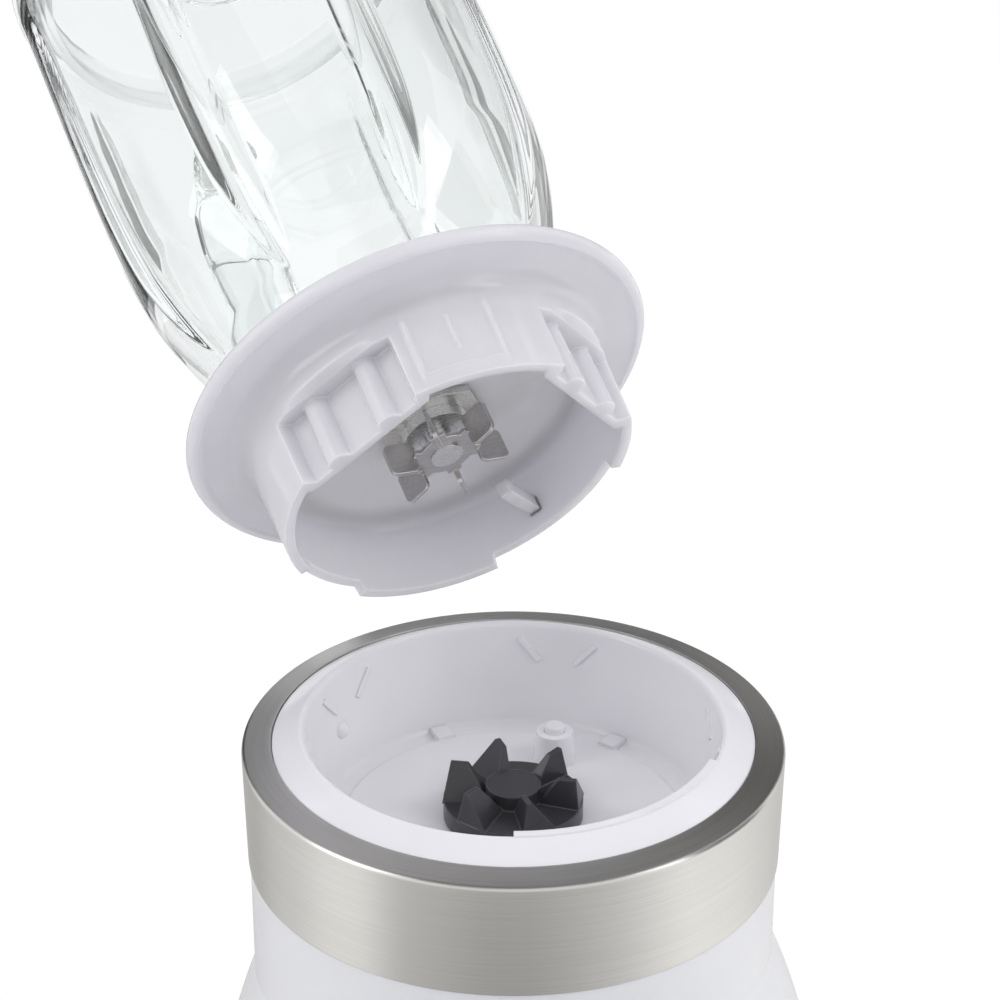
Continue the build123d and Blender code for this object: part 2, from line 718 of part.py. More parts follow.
KNOB_BASE = DIAL_T - DIAL_SINK + KNOB_GAP
with BuildPart() as control_knob:
    with BuildSketch(KNOB_PLANE.offset(KNOB_BASE)):
        Circle(KNOB_R)
    extrude(amount=KNOB_DISC_H, taper=KNOB_TAPER)
    with BuildSketch(KNOB_PLANE.offset(KNOB_BASE)):
        SlotOverall(2 * (KNOB_R - KNOB_TAPER), KNOB_GRIP_W, rotation=90)
    extrude(amount=KNOB_GRIP_H, taper=KNOB_TAPER / 2)
    fillet(control_knob.faces().sort_by(Axis((0, 0, 0), KNOB_PLANE.z_dir))[-1].edges(), KNOB_ROUND)
    with BuildSketch(KNOB_PLANE.offset(-BOSS_DEPTH - SPINDLE_BITE)):
        Circle(SPINDLE_R)
    extrude(amount=BOSS_DEPTH + SPINDLE_BITE + KNOB_BASE)
    with BuildSketch(KNOB_PLANE.offset(KNOB_BASE + KNOB_GRIP_H - MARKER_T)):
        with Locations((0, KNOB_R - KNOB_TAPER - MARKER_L)):
            Rectangle(MARKER_W, MARKER_L)
    extrude(amount=MARKER_T, mode=Mode.SUBTRACT)
save(control_knob.part, "control_knob")

with BuildPart() as knob_marker:
    with BuildSketch(KNOB_PLANE.offset(KNOB_BASE + KNOB_GRIP_H - MARKER_T)):
        with Locations((0, KNOB_R - KNOB_TAPER - MARKER_L)):
            Rectangle(MARKER_W, MARKER_L)
    extrude(amount=MARKER_T)
save(knob_marker.part, "knob_marker")

with BuildPart() as speed_switch:
    with BuildSketch(KNOB_PLANE.offset(-BOSS_DEPTH)):
        RectangleRounded(SWITCH_SIDE, SWITCH_SIDE, SWITCH_CORNER)
    extrude(amount=-SWITCH_DEPTH)
    with BuildSketch(KNOB_PLANE.offset(-BOSS_DEPTH)):
        Circle(SPINDLE_R + RUN_GAP)
    extrude(amount=-SPINDLE_BITE - RUN_GAP, mode=Mode.SUBTRACT)
    with BuildSketch(KNOB_PLANE.offset(-BOSS_DEPTH - SWITCH_DEPTH)):
        with GridLocations(SWITCH_SIDE / 2, SWITCH_SIDE / 2, 2, 2):
            Rectangle(TERMINAL_W, TERMINAL_T)
    extrude(amount=-TERMINAL_L)
save(speed_switch.part, "speed_switch")

# Interlock pin and the switch below it

with BuildPart() as interlock_pin:
    with Locations((POST_X, POST_Y, PIN_BOTTOM_Z)):
        Cylinder(PIN_R, PIN_TOP_Z - PIN_BOTTOM_Z, align=(Align.CENTER, Align.CENTER, Align.MIN))
    fillet(interlock_pin.edges().sort_by(Axis.Z)[-1], PIN_ROUND)
save(interlock_pin.part, "interlock_pin")

with BuildPart() as interlock_switch:
    with Locations((POST_X, POST_Y, MICRO_TOP_Z)):
        Box(MICRO_X, MICRO_Y, MICRO_Z, align=(Align.CENTER, Align.CENTER, Align.MAX))
        Cylinder(PIN_R / 2, MICRO_GAP / 2, align=(Align.CENTER, Align.CENTER, Align.MIN))
    with Locations((POST_X - MICRO_X / 2, POST_Y, MICRO_TOP_Z - MICRO_Z / 2)):
        Box(TERMINAL_L, TERMINAL_W, TERMINAL_T, align=(Align.MAX, Align.CENTER, Align.CENTER))
save(interlock_switch.part, "interlock_switch")

# Motor: stator, coils, brackets and what holds them

with BuildPart() as motor_stator:
    with BuildSketch(Plane.XY.offset(STATOR_Z)):
        RectangleRounded(STATOR_X, STATOR_Y, STATOR_CORNER)
        Circle(ARMATURE_R + AIR_GAP, mode=Mode.SUBTRACT)
        with GridLocations(2 * COIL_X, COIL_SPAN - COIL_LEG, 2, 2):
            Rectangle(COIL_T + 2 * COIL_GAP, COIL_LEG + 2 * COIL_GAP, mode=Mode.SUBTRACT)
        with GridLocations(2 * BOLT_X, 1, 2, 1):
            Circle(BOLT_R + SCREW_GAP, mode=Mode.SUBTRACT)
    extrude(amount=STATOR_H)
save(motor_stator.part, "motor_stator")

with BuildPart() as field_coils:
    for coil_side in (-1, 1):
        with BuildSketch(Plane.YZ.offset(coil_side * COIL_X - COIL_T / 2)):
            with Locations((0, STATOR_Z + STATOR_H / 2)):
                RectangleRounded(COIL_SPAN, STATOR_H + 2 * COIL_RISE, COIL_ROUND)
                Rectangle(
                    COIL_SPAN - 2 * COIL_LEG,
                    STATOR_H + 2 * COIL_GAP,
                    mode=Mode.SUBTRACT,
                )
        extrude(amount=COIL_T)
save(field_coils.part, "field_coils")


def bearing_cup(bottom, top):
    """Outer wall of a bearing cup, to be bored afterwards."""
    with Locations((0, 0, bottom)):
        Cylinder(BEARING_R + CUP_WALL, top - bottom, align=(Align.CENTER, Align.CENTER, Align.MIN))


UPPER_BEARING_Z = UPPER_PLATE_TOP_Z - BEARING_W
with BuildPart() as motor_upper_bracket:
    with BuildSketch(Plane.XY.offset(UPPER_PLATE_Z)):
        Circle(UPPER_PLATE_R)
        with PolarLocations((BEARING_R + MOUNT_PCR) / 2, MOUNT_COUNT, start_angle=PLATE_SLOT_TURN):
            SlotOverall(PLATE_SLOT_L, PLATE_SLOT_W, rotation=90, mode=Mode.SUBTRACT)
        with PolarLocations(MOUNT_PCR, MOUNT_COUNT, start_angle=MOUNT_TURN):
            Circle(MOUNT_SCREW_R + SCREW_GAP, mode=Mode.SUBTRACT)
    extrude(amount=UPPER_PLATE_T)
    bearing_cup(UPPER_BEARING_Z - CUP_FLOOR, UPPER_PLATE_TOP_Z)
    with Locations((0, 0, STATOR_TOP_Z)):
        with GridLocations(2 * BOLT_X, 1, 2, 1):
            Cylinder(LEG_R, UPPER_PLATE_GAP, align=(Align.CENTER, Align.CENTER, Align.MIN))
    with Locations((0, 0, STATOR_TOP_Z)):
        with GridLocations(2 * BOLT_X, 1, 2, 1):
            Cylinder(
                BOLT_R + SCREW_GAP,
                UPPER_PLATE_GAP,
                align=(Align.CENTER, Align.CENTER, Align.MIN),
                mode=Mode.SUBTRACT,
            )
    with Locations((0, 0, UPPER_BEARING_Z)):
        Cylinder(BEARING_R, BEARING_W, align=(Align.CENTER, Align.CENTER, Align.MIN), mode=Mode.SUBTRACT)
        Cylinder(SHAFT_R + CUP_CLEAR, 4 * BEARING_W, mode=Mode.SUBTRACT)
save(motor_upper_bracket.part, "motor_upper_bracket")

LOWER_BEARING_Z = LOWER_BAR_TOP_Z - CUP_FLOOR - BEARING_W
with BuildPart() as motor_lower_bracket:
    with BuildSketch(Plane.XY.offset(LOWER_BAR_Z)):
        SlotOverall(2 * (BOLT_X + LEG_R + LEG_EDGE), LOWER_BAR_W)
        Rectangle(LOWER_BAR_W, LOWER_BAR_LENGTH)
    extrude(amount=LOWER_BAR_T)
    bearing_cup(LOWER_BEARING_Z, LOWER_BAR_TOP_Z)
    with Locations((0, 0, LOWER_BAR_TOP_Z)):
        with GridLocations(2 * BOLT_X, 1, 2, 1):
            Cylinder(LEG_R, LOWER_BAR_GAP, align=(Align.CENTER, Align.CENTER, Align.MIN))
    with Locations((0, 0, LOWER_BAR_Z)):
        with GridLocations(2 * BOLT_X, 1, 2, 1):
            Cylinder(
                BOLT_R + SCREW_GAP,
                LOWER_BAR_T + LOWER_BAR_GAP,
                align=(Align.CENTER, Align.CENTER, Align.MIN),
                mode=Mode.SUBTRACT,
            )
    with Locations((0, 0, LOWER_BEARING_Z)):
        Cylinder(BEARING_R, BEARING_W, align=(Align.CENTER, Align.CENTER, Align.MIN), mode=Mode.SUBTRACT)
        Cylinder(SHAFT_R + CUP_CLEAR, 4 * BEARING_W, mode=Mode.SUBTRACT)
save(motor_lower_bracket.part, "motor_lower_bracket")

for bearing_name, bearing_z in (("upper_bearing", UPPER_BEARING_Z), ("lower_bearing", LOWER_BEARING_Z)):
    with BuildPart() as bearing:
        revolve(ring_section(SHAFT_R + RUN_GAP, BEARING_R, bearing_z, bearing_z + BEARING_W), axis=Axis.Z)
        for race_z in (bearing_z, bearing_z + BEARING_W):
            with Locations((0, 0, race_z)):
                Cylinder(BEARING_R - RACE_W, RACE_DEPTH * 2, mode=Mode.SUBTRACT)
        inner_race = ring_section(SHAFT_R + RUN_GAP, SHAFT_R + RACE_W, bearing_z, bearing_z + BEARING_W)
        revolve(inner_race, axis=Axis.Z)
    save(bearing.part, bearing_name)

with BuildPart() as bracket_bolts:
    with Locations((0, 0, LOWER_BAR_Z)):
        with GridLocations(2 * BOLT_X, 1, 2, 1):
            Cylinder(BOLT_HEAD_R, BOLT_HEAD_T, align=(Align.CENTER, Align.CENTER, Align.MAX))
            Cylinder(
                BOLT_R,
                UPPER_PLATE_Z - LOWER_BAR_Z,
                align=(Align.CENTER, Align.CENTER, Align.MIN),
            )
save(bracket_bolts.part, "bracket_bolts")

with BuildPart() as mount_grommets:
    with Locations((0, 0, UPPER_PLATE_TOP_Z)):
        with PolarLocations(MOUNT_PCR, MOUNT_COUNT, start_angle=MOUNT_TURN):
            Cylinder(GROMMET_R, GROMMET_H, align=(Align.CENTER, Align.CENTER, Align.MIN))
            Cylinder(MOUNT_SCREW_R + SCREW_GAP, 3 * GROMMET_H, mode=Mode.SUBTRACT)
save(mount_grommets.part, "mount_grommets")

with BuildPart() as mount_screws:
    with Locations((0, 0, UPPER_PLATE_Z)):
        with PolarLocations(MOUNT_PCR, MOUNT_COUNT, start_angle=MOUNT_TURN):
            Cylinder(BOLT_HEAD_R, BOLT_HEAD_T, align=(Align.CENTER, Align.CENTER, Align.MAX))
            Cylinder(
                MOUNT_SCREW_R,
                UPPER_PLATE_T + GROMMET_H + MOUNT_BITE - SCREW_GAP,
                align=(Align.CENTER, Align.CENTER, Align.MIN),
            )
save(mount_screws.part, "mount_screws")

BRUSH_Z = LOWER_BAR_TOP_Z + COMMUTATOR_H / 2
with BuildPart() as brush_holders:
    for brush_side in (-1, 1):
        with Locations((0, brush_side * (COMMUTATOR_R + HOLDER_GAP + HOLDER_LENGTH / 2), BRUSH_Z)):
            Box(BRUSH_W + 2 * HOLDER_WALL, HOLDER_LENGTH, COMMUTATOR_H)
            Box(BRUSH_W + 2 * BRUSH_GAP, HOLDER_LENGTH, BRUSH_W + 2 * BRUSH_GAP, mode=Mode.SUBTRACT)
save(brush_holders.part, "brush_holders")

with BuildPart() as carbon_brushes:
    for brush_side in (-1, 1):
        with Locations((0, brush_side * (COMMUTATOR_R + BRUSH_GAP + BRUSH_LENGTH / 2), BRUSH_Z)):
            Box(BRUSH_W, BRUSH_LENGTH, BRUSH_W)
save(carbon_brushes.part, "carbon_brushes")

with BuildPart() as shaft_seal:
    revolve(ring_section(SHAFT_R + RUN_GAP, SEAL_R, WELL_UNDER_Z, WELL_UNDER_Z + SEAL_T), axis=Axis.Z)
save(shaft_seal.part, "shaft_seal")

# Rotor: shaft, armature, commutator, fan and drive dog

with BuildPart() as motor_shaft:
    revolve(ring_section(0, SHAFT_R, SHAFT_BOTTOM_Z, DOG_Z + SHAFT_GRIP), axis=Axis.Z)
    chamfer(motor_shaft.edges().filter_by(GeomType.CIRCLE), SHAFT_CHAMFER)
save(motor_shaft.part, "motor_shaft")

with BuildPart() as armature_core:
    with BuildSketch(Plane.XY.offset(STATOR_Z)):
        Circle(ARMATURE_R)
        Circle(SHAFT_R, mode=Mode.SUBTRACT)
        with PolarLocations(ARMATURE_R - ARMATURE_SLOT_L / 2, ARMATURE_SLOTS):
            Rectangle(ARMATURE_SLOT_L, ARMATURE_SLOT_W, mode=Mode.SUBTRACT)
    extrude(amount=STATOR_H)
save(armature_core.part, "armature_core")

with BuildPart() as armature_windings:
    for winding_z in (STATOR_Z - WINDING_H, STATOR_TOP_Z):
        winding = ring_section(SHAFT_R + WINDING_GAP, WINDING_R, winding_z, winding_z + WINDING_H)
        revolve(winding, axis=Axis.Z)
    fillet(armature_windings.edges().filter_by(GeomType.CIRCLE).sort_by(Axis.Z)[-1:], WINDING_H / 3)
save(armature_windings.part, "armature_windings")

COMMUTATOR_Z = LOWER_BAR_TOP_Z + COMMUTATOR_GAP
with BuildPart() as commutator:
    with BuildSketch(Plane.XY.offset(COMMUTATOR_Z)):
        Circle(COMMUTATOR_R)
        Circle(SHAFT_R, mode=Mode.SUBTRACT)
    extrude(amount=COMMUTATOR_H - COMMUTATOR_GAP)
save(commutator.part, "commutator")

with BuildPart() as cooling_fan:
    with BuildSketch(Plane.XY.offset(FAN_Z + FAN_H - FAN_PLATE_T)):
        Circle(FAN_R)
    extrude(amount=FAN_PLATE_T)
    with Locations((0, 0, FAN_Z)):
        Cylinder(FAN_HUB_R, FAN_H, align=(Align.CENTER, Align.CENTER, Align.MIN))
        with PolarLocations((FAN_HUB_R + FAN_R) / 2, FAN_BLADES):
            Box(
                FAN_R - FAN_HUB_R,
                FAN_BLADE_T,
                FAN_H - FAN_PLATE_T,
                rotation=(0, 0, FAN_BLADE_TURN),
                align=(Align.CENTER, Align.CENTER, Align.MIN),
            )
        Cylinder(SHAFT_R, 4 * FAN_H, mode=Mode.SUBTRACT)
save(cooling_fan.part, "cooling_fan")

DOG_GAP_Z = DOG_Z + DOG_DISC_T
DOG_TIP_Z = DOG_HUB_Z + DOG_TIP_RISE
with BuildPart() as drive_dog:
    with Locations((0, 0, DOG_Z)):
        Cylinder(DOG_R, DOG_DISC_T, align=(Align.CENTER, Align.CENTER, Align.MIN))
        Cylinder(DOG_HUB_R, DOG_HUB_Z - DOG_Z, align=(Align.CENTER, Align.CENTER, Align.MIN))
    for tooth in range(TEETH):
        tooth_turn = Location((0, 0, 0), (0, 0, DOG_PHASE + tooth * 360 / TEETH))
        with BuildSketch(Plane(tooth_turn).offset(DOG_GAP_Z)):
            Polygon(
                (DOG_TOOTH_INNER_R, -DOG_TOOTH_ROOT_W / 2),
                (DOG_R - DOG_TOOTH_INSET, -DOG_TOOTH_TIP_W / 2),
                (DOG_R - DOG_TOOTH_INSET, DOG_TOOTH_TIP_W / 2),
                (DOG_TOOTH_INNER_R, DOG_TOOTH_ROOT_W / 2),
                align=None,
            )
        with BuildSketch(Plane(tooth_turn).offset(DOG_TIP_Z)):
            Polygon(
                (DOG_TIP_INNER_R, DOG_TIP_LEAN - DOG_TIP_W / 2),
                (DOG_TIP_OUTER_R, DOG_TIP_LEAN - DOG_TIP_W / 2),
                (DOG_TIP_OUTER_R, DOG_TIP_LEAN + DOG_TIP_W / 2),
                (DOG_TIP_INNER_R, DOG_TIP_LEAN + DOG_TIP_W / 2),
                align=None,
            )
        loft()
    with Locations((0, 0, DOG_Z)):
        Cylinder(SHAFT_R, SHAFT_GRIP, align=(Align.CENTER, Align.CENTER, Align.MIN), mode=Mode.SUBTRACT)
save(drive_dog.part, "drive_dog")

# Collar: skirt, floor, saucer flange and threaded cup

SAUCER_TOP = SAUCER_RIM_T / 2 + SAUCER_MID
SAUCER_UNDER = SAUCER_MID - SAUCER_RIM_T / 2
with BuildPart() as collar:
    with BuildSketch(Plane.XZ):
        with BuildLine():
            skirt = Line((SKIRT_R, 0), (SKIRT_R + SKIRT_DRAFT, SKIRT_H))
            sweep_out = TangentArc(skirt @ 1, (SAUCER_R, SAUCER_H), tangent=skirt % 1)
            under = Line(sweep_out @ 1, (SAUCER_RIM_R - SAUCER_RIM_W, SAUCER_UNDER))
            rim = ThreePointArc(
                (SAUCER_RIM_R - SAUCER_RIM_T / 2, SAUCER_UNDER),
                (SAUCER_RIM_R, SAUCER_MID),
                (SAUCER_RIM_R - SAUCER_RIM_T / 2, SAUCER_TOP),
            )
            Line(under @ 1, rim @ 0)
            Polyline(
                rim @ 1,
                (CUP_R, SAUCER_TOP),
                (CUP_R, CUP_H),
                (CUP_INNER_R, CUP_H),
                (CUP_INNER_R, FLOOR_TOP),
                (0, FLOOR_TOP),
                (0, COLLAR_FLOOR_H),
                (SKIRT_R - SKIRT_WALL - COLLAR_CORNER, COLLAR_FLOOR_H),
            )
            corner = TangentArc(
                (SKIRT_R - SKIRT_WALL - COLLAR_CORNER, COLLAR_FLOOR_H),
                (SKIRT_R - SKIRT_WALL, COLLAR_FLOOR_H - COLLAR_CORNER),
                tangent=(1, 0),
            )
            Polyline(corner @ 1, (SKIRT_R - SKIRT_WALL, 0), skirt @ 0)
        make_face()
    revolve(axis=Axis.Z)
    # Pockets in the skirt: a back wall inside, then the pocket and its stepped border
    with Locations(*around(POCKET_ANGLES)):
        with Locations((POCKET_R - POCKET_WALL, 0, 0)):
            Box(
                POCKET_WALL + POCKET_BORDER,
                POCKET_W + 2 * POCKET_WALL,
                COLLAR_FLOOR_H,
                align=(Align.MIN, Align.CENTER, Align.MIN),
            )
    with Locations(*around(POCKET_ANGLES)):
        with Locations((POCKET_R, 0, 0)):
            Box(
                SKIRT_R,
                POCKET_W,
                POCKET_H,
                align=(Align.MIN, Align.CENTER, Align.MIN),
                mode=Mode.SUBTRACT,
            )
        with Locations((POCKET_STEP_R, 0, 0)):
            Box(
                SKIRT_R,
                POCKET_W + 2 * POCKET_BORDER,
                POCKET_H + POCKET_BORDER,
                align=(Align.MIN, Align.CENTER, Align.MIN),
                mode=Mode.SUBTRACT,
            )
    with Locations(*around(NOTCH_ANGLES)):
        with Locations((SKIRT_R, 0, 0)):
            Box(
                4 * SKIRT_WALL,
                NOTCH_W,
                NOTCH_H,
                align=(Align.CENTER, Align.CENTER, Align.MIN),
                mode=Mode.SUBTRACT,
            )
    # Panel outline on the front of the skirt
    PANEL_R = SKIRT_R + SKIRT_DRAFT
    for panel_turn in (-PANEL_SPREAD, 0, PANEL_SPREAD):
        panel_top = PANEL_TOP_H - abs(panel_turn) / PANEL_SPREAD * (PANEL_TOP_H - SKIRT_H)
        panel_foot = PANEL_BOTTOM_H if panel_turn else (PANEL_TOP_H + PANEL_BOTTOM_H) / 2
        with Locations(*around((panel_turn - 90,), PANEL_R - SKIRT_DRAFT, panel_foot)):
            Box(
                2 * PANEL_PROUD + SKIRT_DRAFT,
                PANEL_LINE,
                panel_top - panel_foot,
                align=(Align.CENTER, Align.CENTER, Align.MIN),
            )
    # Finger that presses the interlock pin
    with Locations(*around((POST_ANGLE,), SKIRT_R - SKIRT_WALL / 2, PRESSER_BOTTOM)):
        Box(
            SKIRT_R - SKIRT_WALL / 2 - POST_R + PIN_R,
            PRESSER_W,
            PRESSER_H,
            align=(Align.MAX, Align.CENTER, Align.MIN),
        )
    with Locations((0, 0, COLLAR_FLOOR_H)):
        Cylinder(BEARING_TUBE_R, 4 * COLLAR_FLOOR_T, mode=Mode.SUBTRACT)
save(collar.part, "collar", HELD)

with BuildPart() as jug_gasket:
    revolve(
        ring_section(GLASS_NECK_R - GLASS_WALL, CUP_INNER_R - GASKET_GAP, FLOOR_TOP, GLASS_BOTTOM),
        axis=Axis.Z,
    )
save(jug_gasket.part, "jug_gasket", HELD)

# Glass jug with its spout and handle


def glass_section(inset, bottom, top):
    """Half section of the jug under a face set in from the outside."""
    with BuildSketch(Plane.XZ) as face:
        with BuildLine():
            base = Line((0, bottom), (GLASS_NECK_R - inset, bottom))
            neck = Line(base @ 1, (GLASS_NECK_R - inset, GLASS_NECK_TOP))
            body = Spline(
                neck @ 1,
                (GLASS_NECK_R + GLASS_FLARE - inset, GLASS_WAIST_H),
                (GLASS_BELLY[0] - inset, GLASS_BELLY[1]),
                (GLASS_SIDE[0] - inset, GLASS_SIDE[1]),
                (GLASS_TOP_R - inset, top),
                tangents=[(0, 1), (0, 1)],
            )
            lid_line = Line(body @ 1, (0, top))
            Line(lid_line @ 1, base @ 0)
        make_face()
    return face.sketch


def spout(inset):
    """Lower and upper sections of the leaning round spout, set in from the outside."""
    sections = []
    for spout_in, spout_z in ((SPOUT_FOOT_IN, SPOUT_FOOT), (SPOUT_TOP_IN, GLASS_TOP)):
        with BuildSketch(Plane((0, spout_in - GLASS_TOP_R, spout_z))) as ring:
            Circle(SPOUT_R - inset)
        sections.append(ring.sketch)
    return sections


with BuildPart() as glass_jug:
    revolve(glass_section(0, GLASS_BOTTOM, GLASS_TOP), axis=Axis.Z)
    loft(spout(0))
    with BuildLine(Plane.YZ) as handle_path:
        FilletPolyline(
            (HANDLE_ROOT, HANDLE_BOTTOM),
            (HANDLE_REACH, HANDLE_BOTTOM + HANDLE_RAKE),
            (HANDLE_REACH, HANDLE_TOP),
            (HANDLE_ROOT, HANDLE_TOP),
            radius=HANDLE_BEND,
        )
    with BuildSketch(Plane(handle_path.line @ 0, z_dir=handle_path.line % 0, x_dir=(1, 0, 0))):
        RectangleRounded(HANDLE_W, HANDLE_T, HANDLE_ROUND)
    sweep()
    revolve(glass_section(GLASS_WALL, GLASS_BOTTOM, GLASS_TOP), axis=Axis.Z, mode=Mode.SUBTRACT)
    loft(spout(GLASS_WALL), mode=Mode.SUBTRACT)
save(glass_jug.part, "glass_jug", HELD)

# Blade unit and its bearing in the collar

with BuildPart() as bearing_housing:
    revolve(
        section(
            (BUSH_R, BEARING_BOTTOM),
            (BEARING_TUBE_R, BEARING_BOTTOM),
            (BEARING_TUBE_R, FLOOR_TOP),
            (BEARING_FLANGE_R, FLOOR_TOP),
            (BEARING_FLANGE_R, FLOOR_TOP + BEARING_FLANGE_T),
            (BEARING_TUBE_R, FLOOR_TOP + 2 * BEARING_FLANGE_T),
            (BUSH_R + CUP_WALL, BEARING_TOP),
            (BUSH_R, BEARING_TOP),
        ),
        axis=Axis.Z,
    )
save(bearing_housing.part, "bearing_housing", HELD)

with BuildPart() as bearing_nut:
    with BuildSketch(Plane.XY.offset(COLLAR_FLOOR_H - NUT_T)):
        RegularPolygon(NUT_R, 6)
        Circle(BEARING_TUBE_R, mode=Mode.SUBTRACT)
    extrude(amount=NUT_T)
save(bearing_nut.part, "bearing_nut", HELD)

with BuildPart() as bearing_bushes:
    for bush_z in (BEARING_BOTTOM, BEARING_TOP - SEAL_H - BUSH_H):
        revolve(ring_section(SHAFT_R + RUN_GAP, BUSH_R, bush_z, bush_z + BUSH_H), axis=Axis.Z)
save(bearing_bushes.part, "bearing_bushes", HELD)

with BuildPart() as blade_seal:
    revolve(ring_section(SHAFT_R + RUN_GAP, BUSH_R, BEARING_TOP - SEAL_H, BEARING_TOP), axis=Axis.Z)
save(blade_seal.part, "blade_seal", HELD)

with BuildPart() as blade_shaft:
    revolve(
        section(
            (0, STAR_H - RIVET_T),
            (RIVET_R, STAR_H - RIVET_T),
            (RIVET_R, STAR_H),
            (SHAFT_R, STAR_H),
            (SHAFT_R, BLADE_SHAFT_TOP),
            (0, BLADE_SHAFT_TOP),
        ),
        axis=Axis.Z,
    )
    chamfer(blade_shaft.edges().sort_by(Axis.Z)[-1], SHAFT_CHAMFER)
save(blade_shaft.part, "blade_shaft", HELD)

with BuildPart() as vane_coupling:
    with BuildSketch(Plane.XY.offset(STAR_H)):
        Circle(STAR_HUB_R)
        with Locations(*around([VANE_PHASE + vane * 360 / TEETH for vane in range(TEETH)])):
            with Locations((VANE_INNER_R / 2, 0)):
                Rectangle(VANE_INNER_R + VANE_T, STAR_ARM_W)
        Circle(SHAFT_R, mode=Mode.SUBTRACT)
    extrude(amount=STAR_T)
    for vane in range(TEETH):
        with BuildSketch(meridian(VANE_PHASE + vane * 360 / TEETH).offset(-VANE_T / 2)) as vane_face:
            with Locations(((VANE_INNER_R + VANE_R) / 2, STAR_H + STAR_T / 2)):
                Rectangle(VANE_R - VANE_INNER_R, VANE_H)
            fillet(vane_face.vertices(), VANE_CORNER)
        extrude(amount=VANE_T)
save(vane_coupling.part, "vane_coupling", HELD)


def blade_pair(height, turn, bend):
    """Hub disc with two opposite wings bent out of its plane."""
    with Locations((0, 0, height)):
        Cylinder(BLADE_HUB_R, BLADE_T, align=(Align.CENTER, Align.CENTER, Align.MIN))
    for wing_turn in (turn, turn + 180):
        outwards = meridian(wing_turn).x_dir
        lean = radians(bend)
        wing_x = outwards * cos(lean) + Vector(0, 0, sin(lean))
        wing_z = Vector(0, 0, cos(lean)) - outwards * sin(lean)
        root = outwards * (BLADE_HUB_R - BLADE_T) + Vector(0, 0, height)
        with BuildSketch(Plane(root, x_dir=wing_x, z_dir=wing_z)) as wing:
            Polygon(
                (0, -BLADE_ROOT_W / 2),
                (BLADE_LENGTH, -BLADE_ROOT_W / 2),
                (BLADE_LENGTH - BLADE_TIP_W, BLADE_TIP_W / 2),
                (0, BLADE_ROOT_W / 2),
                align=None,
            )
        extrude(wing.sketch, amount=BLADE_T)
    with Locations((0, 0, height)):
        Cylinder(SHAFT_R, 4 * BLADE_LENGTH, mode=Mode.SUBTRACT)


with BuildPart() as lower_blades:
    blade_pair(BLADE_Z, 0, LOWER_BLADE_BEND)
save(lower_blades.part, "lower_blades", HELD)

with BuildPart() as upper_blades:
    blade_pair(UPPER_BLADE_Z, 90, UPPER_BLADE_BEND)
save(upper_blades.part, "upper_blades", HELD)

with BuildPart() as blade_spacer:
    revolve(ring_section(SHAFT_R, BLADE_HUB_R, BLADE_Z + BLADE_T, UPPER_BLADE_Z), axis=Axis.Z)
save(blade_spacer.part, "blade_spacer", HELD)

with BuildPart() as blade_nut:
    with BuildSketch(Plane.XY.offset(UPPER_BLADE_Z + BLADE_T)):
        RegularPolygon(BLADE_NUT_R, 6)
        Circle(SHAFT_R, mode=Mode.SUBTRACT)
    extrude(amount=BLADE_NUT_H)
save(blade_nut.part, "blade_nut", HELD)

# Lid, its gasket and the measuring cap

with BuildPart() as jug_lid:
    with BuildSketch(Plane.XY.offset(LID_Z)):
        Circle(LID_R)
        with Locations((0, -LID_TONGUE_Y / 2)):
            RectangleRounded(LID_TONGUE_W, LID_TONGUE_Y, LID_TONGUE_W / 4)
    extrude(amount=LID_T)
    revolve(ring_section(PLUG_R - LID_WALL, PLUG_R, LID_Z - LID_PLUG_DEPTH, LID_Z), axis=Axis.Z)
    revolve(ring_section(0, LID_COLLAR_R, LID_Z, LID_Z + LID_COLLAR_H), axis=Axis.Z)
    with Locations((0, 0, LID_Z)):
        Cylinder(CAP_R + CAP_GAP, 4 * LID_COLLAR_H, mode=Mode.SUBTRACT)
    fillet(jug_lid.edges().filter_by(GeomType.CIRCLE).sort_by(SortBy.RADIUS)[-1:], LID_T / 3)
save(jug_lid.part, "jug_lid", HELD)

with BuildPart() as lid_gasket:
    revolve(
        ring_section(
            PLUG_R,
            GLASS_MOUTH_R - CAP_GAP,
            LID_Z - LID_PLUG_DEPTH + LID_GASKET_H / 2,
            LID_Z - LID_PLUG_DEPTH + LID_GASKET_H * 1.5,
        ),
        axis=Axis.Z,
    )
save(lid_gasket.part, "lid_gasket", HELD)

CAP_Z = LID_Z + LID_COLLAR_H + CAP_GAP
with BuildPart() as measuring_cap:
    revolve(
        section(
            (0, CAP_Z + CAP_TOP_H),
            (CAP_FLANGE_R - CAP_WALL, CAP_Z + CAP_TOP_H),
            (CAP_FLANGE_R, CAP_Z),
            (CAP_R, CAP_Z),
            (CAP_R - CAP_WALL / 2, CAP_Z - CAP_DEPTH),
            (CAP_R - 1.5 * CAP_WALL, CAP_Z - CAP_DEPTH),
            (CAP_R - CAP_WALL, CAP_Z + CAP_TOP_H - CAP_WALL),
            (0, CAP_Z + CAP_TOP_H - CAP_WALL),
        ),
        axis=Axis.Z,
    )
save(measuring_cap.part, "measuring_cap", HELD)
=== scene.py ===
import json
from math import atan2, cos, pi, radians, sin, sqrt, tan

import bmesh
import bpy
from mathutils import Matrix, Vector
from mathutils.geometry import interpolate_bezier


